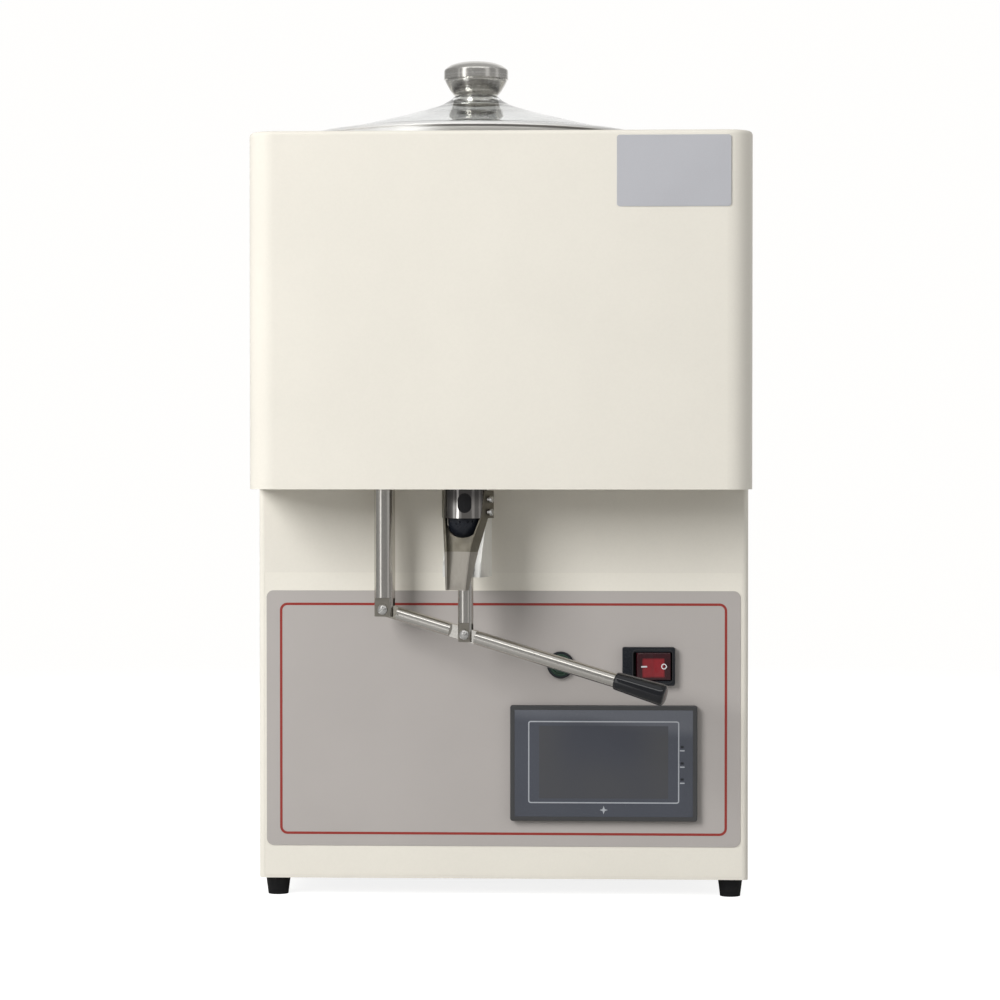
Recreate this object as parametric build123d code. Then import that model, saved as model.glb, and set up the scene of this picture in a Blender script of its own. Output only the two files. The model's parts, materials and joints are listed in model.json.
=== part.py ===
from build123d import *
import os
from math import atan2, cos, degrees, hypot, radians, tan

# Every length is in millimetres. While a piece is drawn, y = 0 is the front of the head, y grows to the rear,
# x grows to the right and z = 0 is the bench. The finished pieces are moved back together at the end.

# Housing
head_width = 356.0
head_depth = 356.0
head_height = 252.3
head_corner_radius = 18.0
head_edge_radius = 3.0
column_side_setback = 1.0
column_height = 282.8
column_corner_radius = 4.0
column_setback = 62.0
column_rear_setback = 6.0
sheet = 1.5
sheet_gap = 0.3
flange_width = 12.0

# Feet
foot_height = 13.0
foot_top_radius = 9.0
foot_bottom_radius = 7.3
foot_inset = 12.5
foot_screw_recess = 5.0
foot_nut_height = 4.0
foot_nut_width = 8.0

# Screws
screw_radius = 2.5
screw_head_radius = 4.2
screw_head_height = 2.6
hole_clearance = 0.2
head_screw_inset = 14.0
screw_bite = 4.5
head_round_share = 1 / 3

# Front panel and its label
fascia_side_margin = 4.0
fascia_below_head = 60.8
fascia_foot = 2.0
fascia_ledge = 8.0
label_side_margin = 1.5
label_height = 185.0
label_corner_radius = 5.0
label_above_base = 116.2
label_thickness = 0.4
head_label_width = 80.0
head_label_height = 50.0
head_label_corner_radius = 2.0
head_label_from_side = 55.6
head_label_below_top = 28.8
head_label_thickness = 0.5

# Touch panel
touch_width = 135.0
touch_height = 83.5
touch_corner_radius = 1.6
touch_from_side = 104.1
touch_below_label_middle = 31.8
touch_proud = 5.0
touch_glass_margin = 3.2
touch_glass_thickness = 1.2
touch_body_inset = 6.5
touch_body_depth = 30.0

# Rocker switch
switch_width = 38.0
switch_height = 27.8
switch_corner_radius = 1.5
switch_right_of_touch = 32.4
switch_above_label_middle = 38.3
switch_proud = 5.0
switch_neck_width = 35.4
switch_neck_height = 24.6
switch_neck_depth = 12.0
switch_body_depth = 16.0
rocker_half_length = 12.3
rocker_height = 20.0
rocker_offset = 2.9
rocker_face_depth = 4.0
rocker_back_depth = 3.0
rocker_tilt = 10.0
rocker_clearance = 0.3
rocker_pin_radius = 1.5
rocker_pin_length = 1.0
pin_clearance = 0.05
terminal_width = 6.3
terminal_thickness = 0.8
terminal_length = 9.0

# Pilot lamp
lamp_left_of_touch = 31.2
lamp_above_label_middle = 39.0
lamp_ring_radius = 9.75
lamp_ring_proud = 3.0
lamp_lens_radius = 7.2
lamp_lens_crown = 2.0
lamp_lens_edge_radius = 1.8
lamp_ring_edge_radius = 1.0
lamp_barrel_radius = 8.0
lamp_barrel_depth = 22.0
lamp_nut_radius = 11.0
lamp_nut_height = 3.0

# Pot
pot_centre_x = -25.0
pot_inner_radius = 115.0
pot_wall = 1.2
pot_above_floor = 6.5
pot_hub_radius = 9.0
pot_flange_width = 9.8
pot_bead_radius = 2.6
deck_hole_clearance = 1.3
seal_thickness = 1.0
seal_width = 10.0
jacket_gap = 0.3
jacket_thickness = 3.0
jacket_lift = 40.0
jacket_height = 90.0
blanket_thickness = 9.0
blanket_lift = 30.0
blanket_height = 190.0
probe_radius = 3.0
probe_height = 22.0
probe_reach = 4.0
probe_length = 34.0

# Stirrer and its drive
shaft_radius = 6.0
running_clearance = 0.05
shaft_hole_gap = 3.0
shaft_above_pot_floor = 34.0
shaft_end_gap = 1.5
bearing_radius = 16.0
seal_ring_radius = 14.0
seal_ring_height = 5.0
hub_radius = 14.0
hub_gap = 1.0
hub_height = 24.0
paddle_reach = 105.0
paddle_lift = 1.5
paddle_blade_width = 8.0
paddle_thickness = 3.0
paddle_arm_height = 18.0
paddle_blade_height = 150.0
gearbox_width = 90.0
gearbox_height = 52.0
gearbox_blind_floor = 8.0
gearbox_edge_radius = 4.0
motor_radius = 42.0
motor_height = 112.0
bracket_thickness = 3.0
bracket_overhang = 8.0
bracket_post_radius = 5.0
bracket_post_height = 8.8

# Lid, heights above the deck of the head
lid_rim_height = 6.5
lid_rim_ledge = 1.0
lid_band_height = 4.0
lid_band_thickness = 1.7
lid_band_overhang = 0.6
lid_skirt_gap = 1.7
lid_skirt_thickness = 1.0
lid_skirt_depth = 14.0
glass_seat_gap = 0.3
glass_thickness = 3.2
glass_slope_share = 1 / 3
glass_crown = 28.7
glass_boss_height = 6.5
glass_boss_radius = 17.0
hub_plate_radius = 20.5
hub_cup_radius = 12.0
hub_cup_depth = 8.0
knob_neck_radius = 12.5
knob_neck_gap = 0.4
knob_waist_radius = 16.3
knob_radius = 24.3
knob_bowl_height = 13.0
knob_bowl_fullness = 2 / 3
knob_groove_height = 1.6
knob_groove_depth = 0.7
knob_band_height = 6.0
knob_crown = 5.4
knob_crown_slope = 0.45

# Outlet tube and the valve in it
valve_x = -25.0
valve_wall_distance = 38.5
tube_radius = 15.4
tube_bore_radius = 13.6
tube_below_head = 20.6
tube_above_head = 36.2
tube_lip_height = 2.0
tube_cap = 3.0
tube_flange_radius = 22.0
tube_flange_height = 3.0
port_width = 9.8
port_height = 13.9
port_below_head = 9.8
bung_inset = 0.2
pipe_radius = 10.0
pipe_bore_radius = 8.0
pipe_above_pot_floor = 9.0
pipe_stub = 1.0
plug_radius = 13.25
plug_gap = 0.3
plug_body_height = 12.5
plug_dome_depth = 15.0
plug_dome_gap = 0.6
plug_flute_radius = 3.0
plug_flute_count = 4
plug_shoulder_gap = 0.2
rod_into_plug = 9.0
spring_wire_radius = 0.9
spring_radius = 9.0
spring_gap = 0.3
spring_turns = 7

# Valve block and chute, in a frame turned with the lever; "reach" is measured forward from the valve axis
block_width = 31.4
block_depth = 26.2
block_height = 41.6
block_edge_radius = 1.0
bush_radius = 8.0
bush_height = 10.0
bush_clearance = 0.06
chute_sheet = 1.0
chute_top_half_width = 17.2
chute_tip_half_width = 7.2
chute_floor_top_reach = 1.5
chute_bend_reach = 11.0
chute_tip_reach = 20.0
chute_middle_drop = 13.4
chute_bend_drop = 23.2
chute_tip_drop = 50.6
chute_top_gap = 1.0
chute_ear_reach = 5.0
chute_wing_top_reach = 3.5
chute_wing_mouth_reach = 7.3
chute_wing_middle_reach = 14.2
chute_wing_bend_reach = 17.6
chute_wing_tip_reach = 22.1
chute_tube_gap = 0.1
chute_screw_radius = 1.5
chute_screw_head_radius = 2.5
chute_screw_head_height = 2.0
chute_screw_drops = (7.2, 16.3)
chute_screw_wall_gap = 0.2

# Lever linkage
support_x = -84.0
support_wall_distance = 22.0
support_rod_radius = 7.5
support_flat_distance = 4.9
support_rod_tail = 5.0
support_rod_above_head = 16.2
support_flat_height = 13.6
support_nut_width = 24.0
support_nut_height = 7.0
valve_rod_radius = 5.5
valve_flat_distance = 3.95
valve_rod_tail = 5.3
valve_flat_height = 13.7
pivot_below_head = 86.6
valve_pin_drop = 16.8
fork_slot_width = 4.3
fork_slot_clearance = 0.9
tongue_thickness = 4.0
lever_radius = 5.0
tongue_neck = 10.6
flat_start_before_pin = 11.3
flat_end_after_pin = 8.2
valve_travel = 9.45
pin_screw_radius = 2.0
pin_head_radius = 3.75
pin_head_height = 2.2
pin_end_gap = 0.6
pin_slot_width = 1.0
pin_slot_depth = 0.9
grip_start = 177.4
grip_length = 38.1
grip_thin_radius = 6.3
grip_thick_radius = 7.75
grip_end_radius = 1.6
grip_end_wall = 6.0

# Rear panel, fan and power inlet
panel_margin = 12.0
fan_size = 120.0
fan_depth = 25.0
fan_from_side = 105.0
fan_below_head = 90.8
fan_duct_radius = 57.0
fan_tip_gap = 2.0
fan_hub_radius = 20.0
fan_hub_gap = 0.8
fan_spindle_radius = 2.0
fan_spindle_length = 12.0
fan_blade_count = 7
fan_blade_thickness = 2.0
fan_blade_pitch = 35.0
fan_blade_chord = 20.0
fan_strut_width = 5.0
fan_strut_thickness = 3.0
fan_rotor_inset = 4.0
fan_screw_spacing = 105.0
fan_screw_radius = 2.0
fan_corner_radius = 5.0
guard_wire_radius = 1.0
guard_eye_radius = 5.0
guard_eye_thickness = 2.0
guard_bar_lift = 0.3
guard_weld = 0.4
guard_ring_count = 4
guard_ring_overhang = 3.5
guard_outer_radius = fan_screw_spacing / 2 + guard_ring_overhang
vent_length = 70.0
vent_width = 5.0
vent_end_radius = 2.4
vent_pitch = 14.0
vent_count = 8
vent_from_side = 87.0
vent_below_head = 45.8
head_vent_count = 7
head_vent_length = 110.0
head_vent_centre_x = 68.0
head_vent_below_top = 60.0
inlet_from_side = 57.0
inlet_above_base = 49.0
inlet_flange_width = 50.0
inlet_flange_height = 23.0
inlet_flange_thickness = 2.5
inlet_body_width = 27.0
inlet_body_height = 19.6
inlet_body_depth = 22.0
inlet_mouth_width = 24.0
inlet_mouth_height = 16.6
inlet_mouth_depth = 17.5
inlet_pin_width = 4.0
inlet_pin_thickness = 2.0
inlet_pin_length = 11.0
inlet_pin_spread = 7.0
inlet_pin_drop = 2.0
inlet_screw_spacing = 40.0
inlet_screw_radius = 1.6
supply_width = 159.0
supply_depth = 98.0
supply_height = 40.0
supply_from_side = 117.0
supply_from_back = 40.0
relay_width = 45.0
relay_depth = 60.0
relay_height = 25.0
relay_from_side = 57.0
relay_from_back = 86.0
case_edge_radius = 1.5

# Levels and planes worked out from the sizes above
column_width = head_width - 2 * column_side_setback
column_bottom = foot_height
head_bottom = column_bottom + column_height
head_top = head_bottom + head_height
floor_top = head_bottom + sheet
column_front = column_setback
column_back = head_depth - column_rear_setback
column_depth = column_back - column_front
column_centre_y = (column_front + column_back) / 2
head_centre_y = head_depth / 2
label_face = column_front - label_thickness
base_top = column_bottom + sheet
panel_face = column_back + sheet

column_side = column_width / 2
touch_centre_x = column_side - touch_from_side
switch_centre_x = touch_centre_x + switch_right_of_touch
lamp_centre_x = touch_centre_x - lamp_left_of_touch
head_label_centre_x = head_width / 2 - head_label_from_side
fan_centre_x = column_side - fan_from_side
supply_centre_x = column_side - supply_from_side
vent_centre_x = vent_from_side - column_side
inlet_centre_x = inlet_from_side - column_side
relay_centre_x = relay_from_side - column_side
fascia_width = column_width - 2 * fascia_side_margin
fascia_bottom = column_bottom + fascia_foot
fascia_top = head_bottom - fascia_below_head
fascia_height = fascia_top - fascia_bottom
fascia_centre_z = (fascia_bottom + fascia_top) / 2
label_width = fascia_width - 2 * label_side_margin
label_centre_z = column_bottom + label_above_base
touch_centre_z = label_centre_z - touch_below_label_middle
switch_centre_z = label_centre_z + switch_above_label_middle
lamp_centre_z = label_centre_z + lamp_above_label_middle
rear_centre_z = (column_bottom + head_bottom) / 2
fan_centre_z = head_bottom - fan_below_head
vent_top_z = head_bottom - vent_below_head
inlet_centre_z = column_bottom + inlet_above_base

pot_y = head_centre_y
pot_outer_radius = pot_inner_radius + pot_wall
pot_bottom = floor_top + pot_above_floor
pot_floor = pot_bottom + pot_wall
pot_flange_z = head_top + seal_thickness
pot_bead_radius_from_axis = pot_outer_radius + pot_flange_width
deck_hole_radius = pot_outer_radius + deck_hole_clearance
jacket_inner_radius = pot_outer_radius + jacket_gap
blanket_inner_radius = jacket_inner_radius + jacket_thickness + jacket_gap
pipe_z = pot_floor + pipe_above_pot_floor
probe_z = pot_floor + probe_height
hub_bottom = pot_floor + seal_ring_height + hub_gap
shaft_top = pot_floor + shaft_above_pot_floor
bracket_top = head_bottom - bracket_post_height
gearbox_top = bracket_top - bracket_thickness
gearbox_bottom = gearbox_top - gearbox_height

lid_base = head_top + lid_rim_height
lid_outer_radius = pot_bead_radius_from_axis + pot_bead_radius + lid_band_overhang
glass_radius = lid_outer_radius - lid_band_thickness - glass_seat_gap
glass_edge_z = lid_base + lid_rim_ledge + glass_seat_gap
boss_top = glass_edge_z + glass_crown + glass_boss_height
boss_bottom = glass_edge_z + glass_crown

tube_bottom = head_bottom - tube_below_head
tube_top = head_bottom + tube_above_head
support_rod_top = head_bottom + support_rod_above_head
pivot_z = head_bottom - pivot_below_head
valve_y = column_front - valve_wall_distance
support_y = column_front - support_wall_distance
link_x = valve_x - support_x
link_y = support_y - valve_y
link_length = hypot(link_x, link_y)
lever_turn = degrees(atan2(link_y, link_x))
lever_slope = degrees(atan2(valve_pin_drop, link_length))
lever_pin_distance = hypot(valve_pin_drop, link_length)
open_slope = degrees(atan2(valve_pin_drop - valve_travel, link_length))
lever_pin_distance_open = hypot(valve_pin_drop - valve_travel, link_length)
valve_pin_z = pivot_z - valve_pin_drop
lip_bore_radius = plug_radius - plug_gap
dome_radius = lip_bore_radius - plug_gap
plug_shoulder_z = tube_bottom + tube_lip_height + plug_shoulder_gap
plug_top = plug_shoulder_z + plug_body_height
spring_foot = plug_top + spring_gap
spring_head = tube_top - tube_cap - spring_gap
rod_top = tube_bottom + rod_into_plug
port_z = head_bottom - port_below_head
chute_taper = (chute_top_half_width - chute_tip_half_width) / chute_wing_tip_reach

LOW = (Align.MIN, Align.MIN, Align.MIN)
STAND = (Align.CENTER, Align.CENTER, Align.MIN)


def block(x_range, y_range, z_range):
    size = [high - low for low, high in (x_range, y_range, z_range)]
    return Pos(x_range[0], y_range[0], z_range[0]) * Box(*size, align=LOW)


def post(x, y, z_low, z_high, radius):
    return Pos(x, y, z_low) * Cylinder(radius, z_high - z_low, align=STAND)


def ring(x, y, z_low, z_high, outer_radius, inner_radius):
    return post(x, y, z_low, z_high, outer_radius) - post(x, y, z_low, z_high, inner_radius)


def rear_post(x, z, y_low, y_high, radius):
    return Pos(x, y_low, z) * Rot(-90, 0, 0) * Cylinder(radius, y_high - y_low, align=STAND)


def side_post(x_low, x_high, y, z, radius):
    return Pos(x_low, y, z) * Rot(0, 90, 0) * Cylinder(radius, x_high - x_low, align=STAND)


def plate(width, depth, radius, centre_y, z_low, z_high):
    return Pos(0, centre_y, z_low) * extrude(RectangleRounded(width, depth, radius), z_high - z_low)


def panel(centre_x, centre_z, y_low, y_high, width, height, radius):
    face = RectangleRounded(width, height, radius)
    return Pos(centre_x, y_high, centre_z) * Rot(90, 0, 0) * extrude(face, y_high - y_low)


def window(centre_x, centre_z, y_low, y_high, width, height):
    x_range = (centre_x - width / 2, centre_x + width / 2)
    z_range = (centre_z - height / 2, centre_z + height / 2)
    return block(x_range, (y_low, y_high), z_range)


def turned(points):
    """A solid of revolution about Z from (radius, height) points."""
    return revolve(Plane.XZ * make_face(Polyline(*points, close=True)), Axis.Z)


def hexagon(x, y, z_low, z_high, width):
    return Pos(x, y, z_low) * extrude(RegularPolygon(width / 2, 6, major_radius=False), z_high - z_low)


def at_pot(shape):
    return Pos(pot_centre_x, pot_y, 0) * shape


def at_valve(shape):
    """From the valve block's own frame, whose -Y is the way the chute points."""
    return Pos(valve_x, valve_y, 0) * Rot(0, 0, -lever_turn) * shape


def at_lever(shape):
    """From the lever's own frame, with +X along the arm and its pivot at the origin."""
    return Pos(support_x, support_y, pivot_z) * Rot(0, 0, -lever_turn) * Rot(0, lever_slope, 0) * shape


def slotted_screw(radius, head_radius, head_height, length):
    """A pan head screw along +Y, its head's underside at y = 0."""
    shank = rear_post(0, 0, 0, length, radius)
    head = rear_post(0, 0, -head_height, 0, head_radius)
    head = fillet(head.faces().sort_by(Axis.Y)[0].edges(), head_height * head_round_share)
    slot = window(0, 0, -head_height, pin_slot_depth - head_height, 3 * head_radius, pin_slot_width)
    return shank + (head - Rot(0, 45, 0) * slot)


def corner_points(half_x, half_y, centre_x, centre_y):
    return [(centre_x + i * half_x, centre_y + j * half_y) for i in (-1, 1) for j in (-1, 1)]


# Housing pieces


def foot_places():
    half_x = column_width / 2 - foot_inset
    half_y = column_depth / 2 - foot_inset
    return corner_points(half_x, half_y, 0, column_centre_y)


def base_plate():
    inside = 2 * (sheet + sheet_gap)
    radius = column_corner_radius - sheet
    tray = plate(column_width - inside, column_depth - inside, radius, column_centre_y, column_bottom, base_top)
    for x, y in foot_places():
        tray -= post(x, y, column_bottom, base_top, screw_radius + hole_clearance)
    return tray


def rubber_feet():
    feet = []
    for x, y in foot_places():
        foot = Pos(x, y, 0) * Cone(foot_bottom_radius, foot_top_radius, foot_height, align=STAND)
        foot -= post(x, y, 0, foot_screw_recess, screw_head_radius + hole_clearance)
        foot -= post(x, y, 0, foot_height, screw_radius + hole_clearance)
        feet.append(foot)
    return Part() + feet


def foot_screws():
    screws = []
    for x, y in foot_places():
        head = post(x, y, foot_screw_recess - screw_head_height, foot_screw_recess, screw_head_radius)
        shank = post(x, y, foot_screw_recess, base_top + foot_nut_height, screw_radius)
        nut = hexagon(x, y, base_top, base_top + foot_nut_height, foot_nut_width)
        screws.append(head + shank + nut)
    return Part() + screws


def fascia_openings(y_low, y_high):
    """The three holes that the label, the front panel and its ledge share."""
    touch_cut = 2 * (touch_body_inset - hole_clearance)
    hole = window(touch_centre_x, touch_centre_z, y_low, y_high, touch_width - touch_cut, touch_height - touch_cut)
    hole += window(switch_centre_x, switch_centre_z, y_low, y_high, switch_neck_width, switch_neck_height)
    return hole + rear_post(lamp_centre_x, lamp_centre_z, y_low, y_high, lamp_barrel_radius)


def column_shell():
    outer = plate(column_width, column_depth, column_corner_radius, column_centre_y, column_bottom, head_bottom)
    inner_width = column_width - 2 * sheet
    inner_depth = column_depth - 2 * sheet
    inner_radius = column_corner_radius - sheet
    shell = outer - plate(inner_width, inner_depth, inner_radius, column_centre_y, column_bottom, head_bottom)

    flange_outer = plate(inner_width, inner_depth, inner_radius, column_centre_y, head_bottom - sheet, head_bottom)
    hole_width = inner_width - 2 * flange_width
    hole_depth = inner_depth - 2 * flange_width
    shell += flange_outer - plate(hole_width, hole_depth, inner_radius, column_centre_y, column_bottom, head_bottom)

    ledge_back = column_front + 2 * sheet
    ledge_height = fascia_height + 2 * fascia_ledge
    ledge = window(0, fascia_centre_z, column_front + sheet, ledge_back, inner_width, ledge_height)
    ledge &= block((-column_width, column_width), (column_front, ledge_back), (base_top + sheet_gap, head_bottom))
    shell += ledge
    opening_width = fascia_width - 2 * fascia_ledge
    opening_height = fascia_height - 2 * fascia_ledge
    shell -= window(0, fascia_centre_z, column_front, ledge_back, opening_width, opening_height)
    shell -= window(0, fascia_centre_z, column_front, column_front + sheet, fascia_width, fascia_height)

    rear_width = inner_width - 2 * flange_width
    rear_height = column_height - 2 * (sheet + flange_width)
    shell -= window(0, rear_centre_z, column_back - sheet, column_back, rear_width, rear_height)
    for x, z in rear_screw_places():
        shell -= rear_post(x, z, column_back - sheet, column_back, screw_radius)
    for x, y in head_screw_places():
        shell -= post(x, y, head_bottom - sheet, head_bottom, screw_radius + hole_clearance)
    return shell


def fascia_panel():
    width = fascia_width - 2 * sheet_gap
    height = fascia_height - 2 * sheet_gap
    sheet_metal = window(0, fascia_centre_z, column_front, column_front + sheet, width, height)
    return sheet_metal - fascia_openings(column_front, column_front + sheet)


def fascia_label():
    face = panel(0, label_centre_z, label_face, column_front, label_width, label_height, label_corner_radius)
    return face - fascia_openings(label_face, column_front)


def rear_panel_size():
    inner = 2 * (sheet + panel_margin / 2)
    return column_width - inner, column_height - inner


def rear_screw_places():
    width, height = rear_panel_size()
    half_x = width / 2 - panel_margin / 2
    half_z = height / 2 - panel_margin / 2
    return corner_points(half_x, half_z, 0, rear_centre_z) + [(-half_x, rear_centre_z), (half_x, rear_centre_z)]


def rear_panel():
    width, height = rear_panel_size()
    cover = panel(0, rear_centre_z, column_back, panel_face, width, height, column_corner_radius)
    cover -= rear_post(fan_centre_x, fan_centre_z, column_back, panel_face, fan_duct_radius)
    for x, z in fan_screw_places():
        cover -= rear_post(x, z, column_back, panel_face, fan_screw_radius + hole_clearance)
    for x, z in rear_screw_places():
        cover -= rear_post(x, z, column_back, panel_face, screw_radius + hole_clearance)
    for row in range(vent_count):
        z = vent_top_z - row * vent_pitch
        cover -= panel(vent_centre_x, z, column_back, panel_face, vent_length, vent_width, vent_end_radius)
    cover -= window(inlet_centre_x, inlet_centre_z, column_back, panel_face, inlet_body_width, inlet_body_height)
    return cover


def rear_screws():
    screws = []
    for x, z in rear_screw_places():
        shank = rear_post(x, z, column_back - screw_bite, panel_face, screw_radius)
        head = rear_post(x, z, panel_face, panel_face + screw_head_height, screw_head_radius)
        head = fillet(head.faces().sort_by(Axis.Y)[-1].edges(), screw_head_height * head_round_share)
        screws.append(shank + head)
    return Part() + screws


def head_casing():
    box = plate(head_width, head_depth, head_corner_radius, head_centre_y, head_bottom, head_top)
    box = fillet(box.faces().sort_by(Axis.Z)[-1].edges(), head_edge_radius)
    inner_radius = head_corner_radius - sheet
    width = head_width - 2 * sheet
    depth = head_depth - 2 * sheet
    box -= plate(width, depth, inner_radius, head_centre_y, head_bottom, head_top - sheet)
    box -= post(pot_centre_x, pot_y, head_top - sheet, head_top, deck_hole_radius)
    for row in range(head_vent_count):
        z = head_top - head_vent_below_top - row * vent_pitch
        for side in (-1, 1):
            slot = panel(side * head_vent_centre_x, z, head_depth - sheet, head_depth, head_vent_length,
                         vent_width, vent_end_radius)
            box -= slot
    return box


def head_screw_places():
    inset = sheet + flange_width / 2
    half_x = column_width / 2 - inset
    half_y = column_depth / 2 - inset
    corners = corner_points(half_x, half_y - head_screw_inset, 0, column_centre_y)
    return corners + [(-half_x, column_centre_y), (half_x, column_centre_y)]


def head_floor():
    inside = 2 * (sheet + sheet_gap)
    radius = head_corner_radius - sheet
    tray = plate(head_width - inside, head_depth - inside, radius, head_centre_y, head_bottom, floor_top)
    tray -= post(pot_centre_x, pot_y, head_bottom, floor_top, shaft_radius + shaft_hole_gap)
    tray -= post(valve_x, valve_y, head_bottom, floor_top, tube_radius)
    tray -= post(support_x, support_y, head_bottom, floor_top, support_rod_radius)
    for x, y in head_screw_places():
        tray -= post(x, y, head_bottom, floor_top, screw_radius + hole_clearance)
    return tray


def head_screws():
    screws = []
    for x, y in head_screw_places():
        shank = post(x, y, head_bottom - screw_bite, floor_top, screw_radius)
        head = post(x, y, floor_top, floor_top + screw_head_height, screw_head_radius)
        screws.append(shank + head)
    return Part() + screws


def label_plate():
    centre_z = head_top - head_label_below_top
    return panel(head_label_centre_x, centre_z, -head_label_thickness, 0, head_label_width, head_label_height,
                 head_label_corner_radius)


# Pot and lid


def mixing_pot():
    flange_top = pot_flange_z + pot_wall
    profile = [
        (pot_hub_radius, pot_bottom),
        (pot_outer_radius, pot_bottom),
        (pot_outer_radius, pot_flange_z),
        (pot_bead_radius_from_axis, pot_flange_z),
        (pot_bead_radius_from_axis, flange_top),
        (pot_inner_radius, flange_top),
        (pot_inner_radius, pot_floor),
        (pot_hub_radius, pot_floor),
    ]
    vessel = turned(profile)
    bead = Pos(0, 0, pot_flange_z + pot_bead_radius) * Torus(pot_bead_radius_from_axis, pot_bead_radius)
    vessel = at_pot(vessel + bead)
    vessel -= rear_post(valve_x, pipe_z, valve_y, pot_y, pipe_radius)
    return vessel - rear_post(pot_centre_x, probe_z, pot_y, head_depth, probe_radius)


def pot_seal_ring():
    inner = deck_hole_radius + sheet_gap
    return ring(pot_centre_x, pot_y, head_top, pot_flange_z, inner + seal_width - 2 * sheet_gap, inner)


def clear_of_pipe_and_probe(shape):
    shape -= rear_post(valve_x, pipe_z, valve_y, pot_y, pipe_radius + jacket_gap)
    return shape - rear_post(pot_centre_x, probe_z, pot_y, head_depth, probe_radius + jacket_gap)


def heating_jacket():
    z_low = pot_bottom + jacket_lift
    outer = jacket_inner_radius + jacket_thickness
    sleeve = ring(pot_centre_x, pot_y, z_low, z_low + jacket_height, outer, jacket_inner_radius)
    return clear_of_pipe_and_probe(sleeve)


def insulation_blanket():
    z_low = pot_bottom + blanket_lift
    outer = blanket_inner_radius + blanket_thickness
    sleeve = ring(pot_centre_x, pot_y, z_low, z_low + blanket_height, outer, blanket_inner_radius)
    return clear_of_pipe_and_probe(sleeve)


def temperature_probe():
    tip = pot_y + pot_inner_radius - probe_reach
    return rear_post(pot_centre_x, probe_z, tip, tip + probe_length, probe_radius)


def glass_points():
    """Outside of the lid glass from the boss to its edge, as shares of its radius and of its crown."""
    shares = ((0.206, 1.0), (0.34, 0.815), (0.55, 0.64), (0.82, 0.41), (0.93, 0.29), (0.985, 0.15))
    return [(share * glass_radius, glass_edge_z + rise * glass_crown) for share, rise in shares]


def lid_glass():
    bore = knob_neck_radius + knob_neck_gap
    crown = glass_points()
    outside = [(glass_boss_radius, boss_top)] + crown + [(glass_radius, glass_edge_z)]
    inner_edge = (glass_radius - glass_thickness, glass_edge_z)
    glass_inset = glass_thickness * glass_slope_share
    inside = [inner_edge] + [(radius - glass_inset, z - glass_thickness) for radius, z in crown[-2:0:-1]]
    flat = (hub_plate_radius + glass_thickness, boss_bottom - glass_inset)
    edge = [
        Line((bore, boss_top), outside[0]),
        Spline(*outside),
        Line(outside[-1], inner_edge),
        Spline(*inside, flat),
        Line(flat, (hub_plate_radius, boss_bottom)),
        Line((hub_plate_radius, boss_bottom), (bore, boss_bottom)),
        Line((bore, boss_bottom), (bore, boss_top)),
    ]
    return at_pot(revolve(Plane.XZ * make_face(edge), Axis.Z))


def lid_rim():
    skirt_outer = pot_inner_radius - lid_skirt_gap
    skirt_inner = skirt_outer - lid_skirt_thickness
    band_inner = lid_outer_radius - lid_band_thickness
    ledge_top = lid_base + lid_rim_ledge
    profile = [
        (skirt_inner, ledge_top - lid_skirt_depth),
        (skirt_outer, ledge_top - lid_skirt_depth),
        (skirt_outer, lid_base),
        (lid_outer_radius, lid_base),
        (lid_outer_radius, lid_base + lid_band_height),
        (band_inner, lid_base + lid_band_height),
        (band_inner, ledge_top),
        (skirt_inner, ledge_top),
    ]
    return at_pot(turned(profile))


def lid_knob():
    waist = boss_top + sheet_gap
    bowl_top = waist + knob_bowl_height
    groove_top = bowl_top + knob_groove_height
    band_top = groove_top + knob_band_height
    bowl_radius = knob_waist_radius + knob_bowl_fullness * (knob_radius - knob_waist_radius)
    bowl_middle = (bowl_radius, (waist + bowl_top) / 2)
    edge = [
        Line((0, boss_bottom), (knob_neck_radius, boss_bottom)),
        Line((knob_neck_radius, boss_bottom), (knob_neck_radius, waist)),
        Line((knob_neck_radius, waist), (knob_waist_radius, waist)),
        ThreePointArc((knob_waist_radius, waist), bowl_middle, (knob_radius - knob_groove_depth, bowl_top)),
        Line((knob_radius - knob_groove_depth, bowl_top), (knob_radius - knob_groove_depth, groove_top)),
        Line((knob_radius - knob_groove_depth, groove_top), (knob_radius, groove_top)),
        Line((knob_radius, groove_top), (knob_radius, band_top)),
        Spline((knob_radius, band_top), (0, band_top + knob_crown), tangents=((-1, knob_crown_slope), (-1, 0))),
        Line((0, band_top + knob_crown), (0, boss_bottom)),
    ]
    return at_pot(revolve(Plane.XZ * make_face(edge), Axis.Z))


def lid_hub():
    cup_bottom = boss_bottom - hub_cup_depth
    plate_bottom = boss_bottom - glass_thickness / 2
    edge = [
        Line((0, cup_bottom), (hub_cup_radius, cup_bottom)),
        Spline((hub_cup_radius, cup_bottom), (hub_plate_radius, plate_bottom), tangents=((1, 0.1), (0.1, 1))),
        Line((hub_plate_radius, plate_bottom), (hub_plate_radius, boss_bottom)),
        Line((hub_plate_radius, boss_bottom), (0, boss_bottom)),
        Line((0, boss_bottom), (0, cup_bottom)),
    ]
    return at_pot(revolve(Plane.XZ * make_face(edge), Axis.Z))


# Stirrer and drive


def stirrer_shaft():
    return post(pot_centre_x, pot_y, gearbox_bottom + gearbox_blind_floor + shaft_end_gap, shaft_top, shaft_radius)


def stirrer_paddle():
    low = hub_bottom + paddle_lift
    half = paddle_thickness / 2
    paddle = post(0, 0, hub_bottom, hub_bottom + hub_height, hub_radius)
    paddle += block((-paddle_reach, paddle_reach), (-half, half), (low, low + paddle_arm_height))
    blade_low = paddle_reach - paddle_blade_width
    for side in (-1, 1):
        x_range = sorted((side * blade_low, side * paddle_reach))
        paddle += block(x_range, (-half, half), (low, low + paddle_blade_height))
    paddle -= post(0, 0, hub_bottom, hub_bottom + hub_height, shaft_radius)
    return at_pot(paddle)


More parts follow.
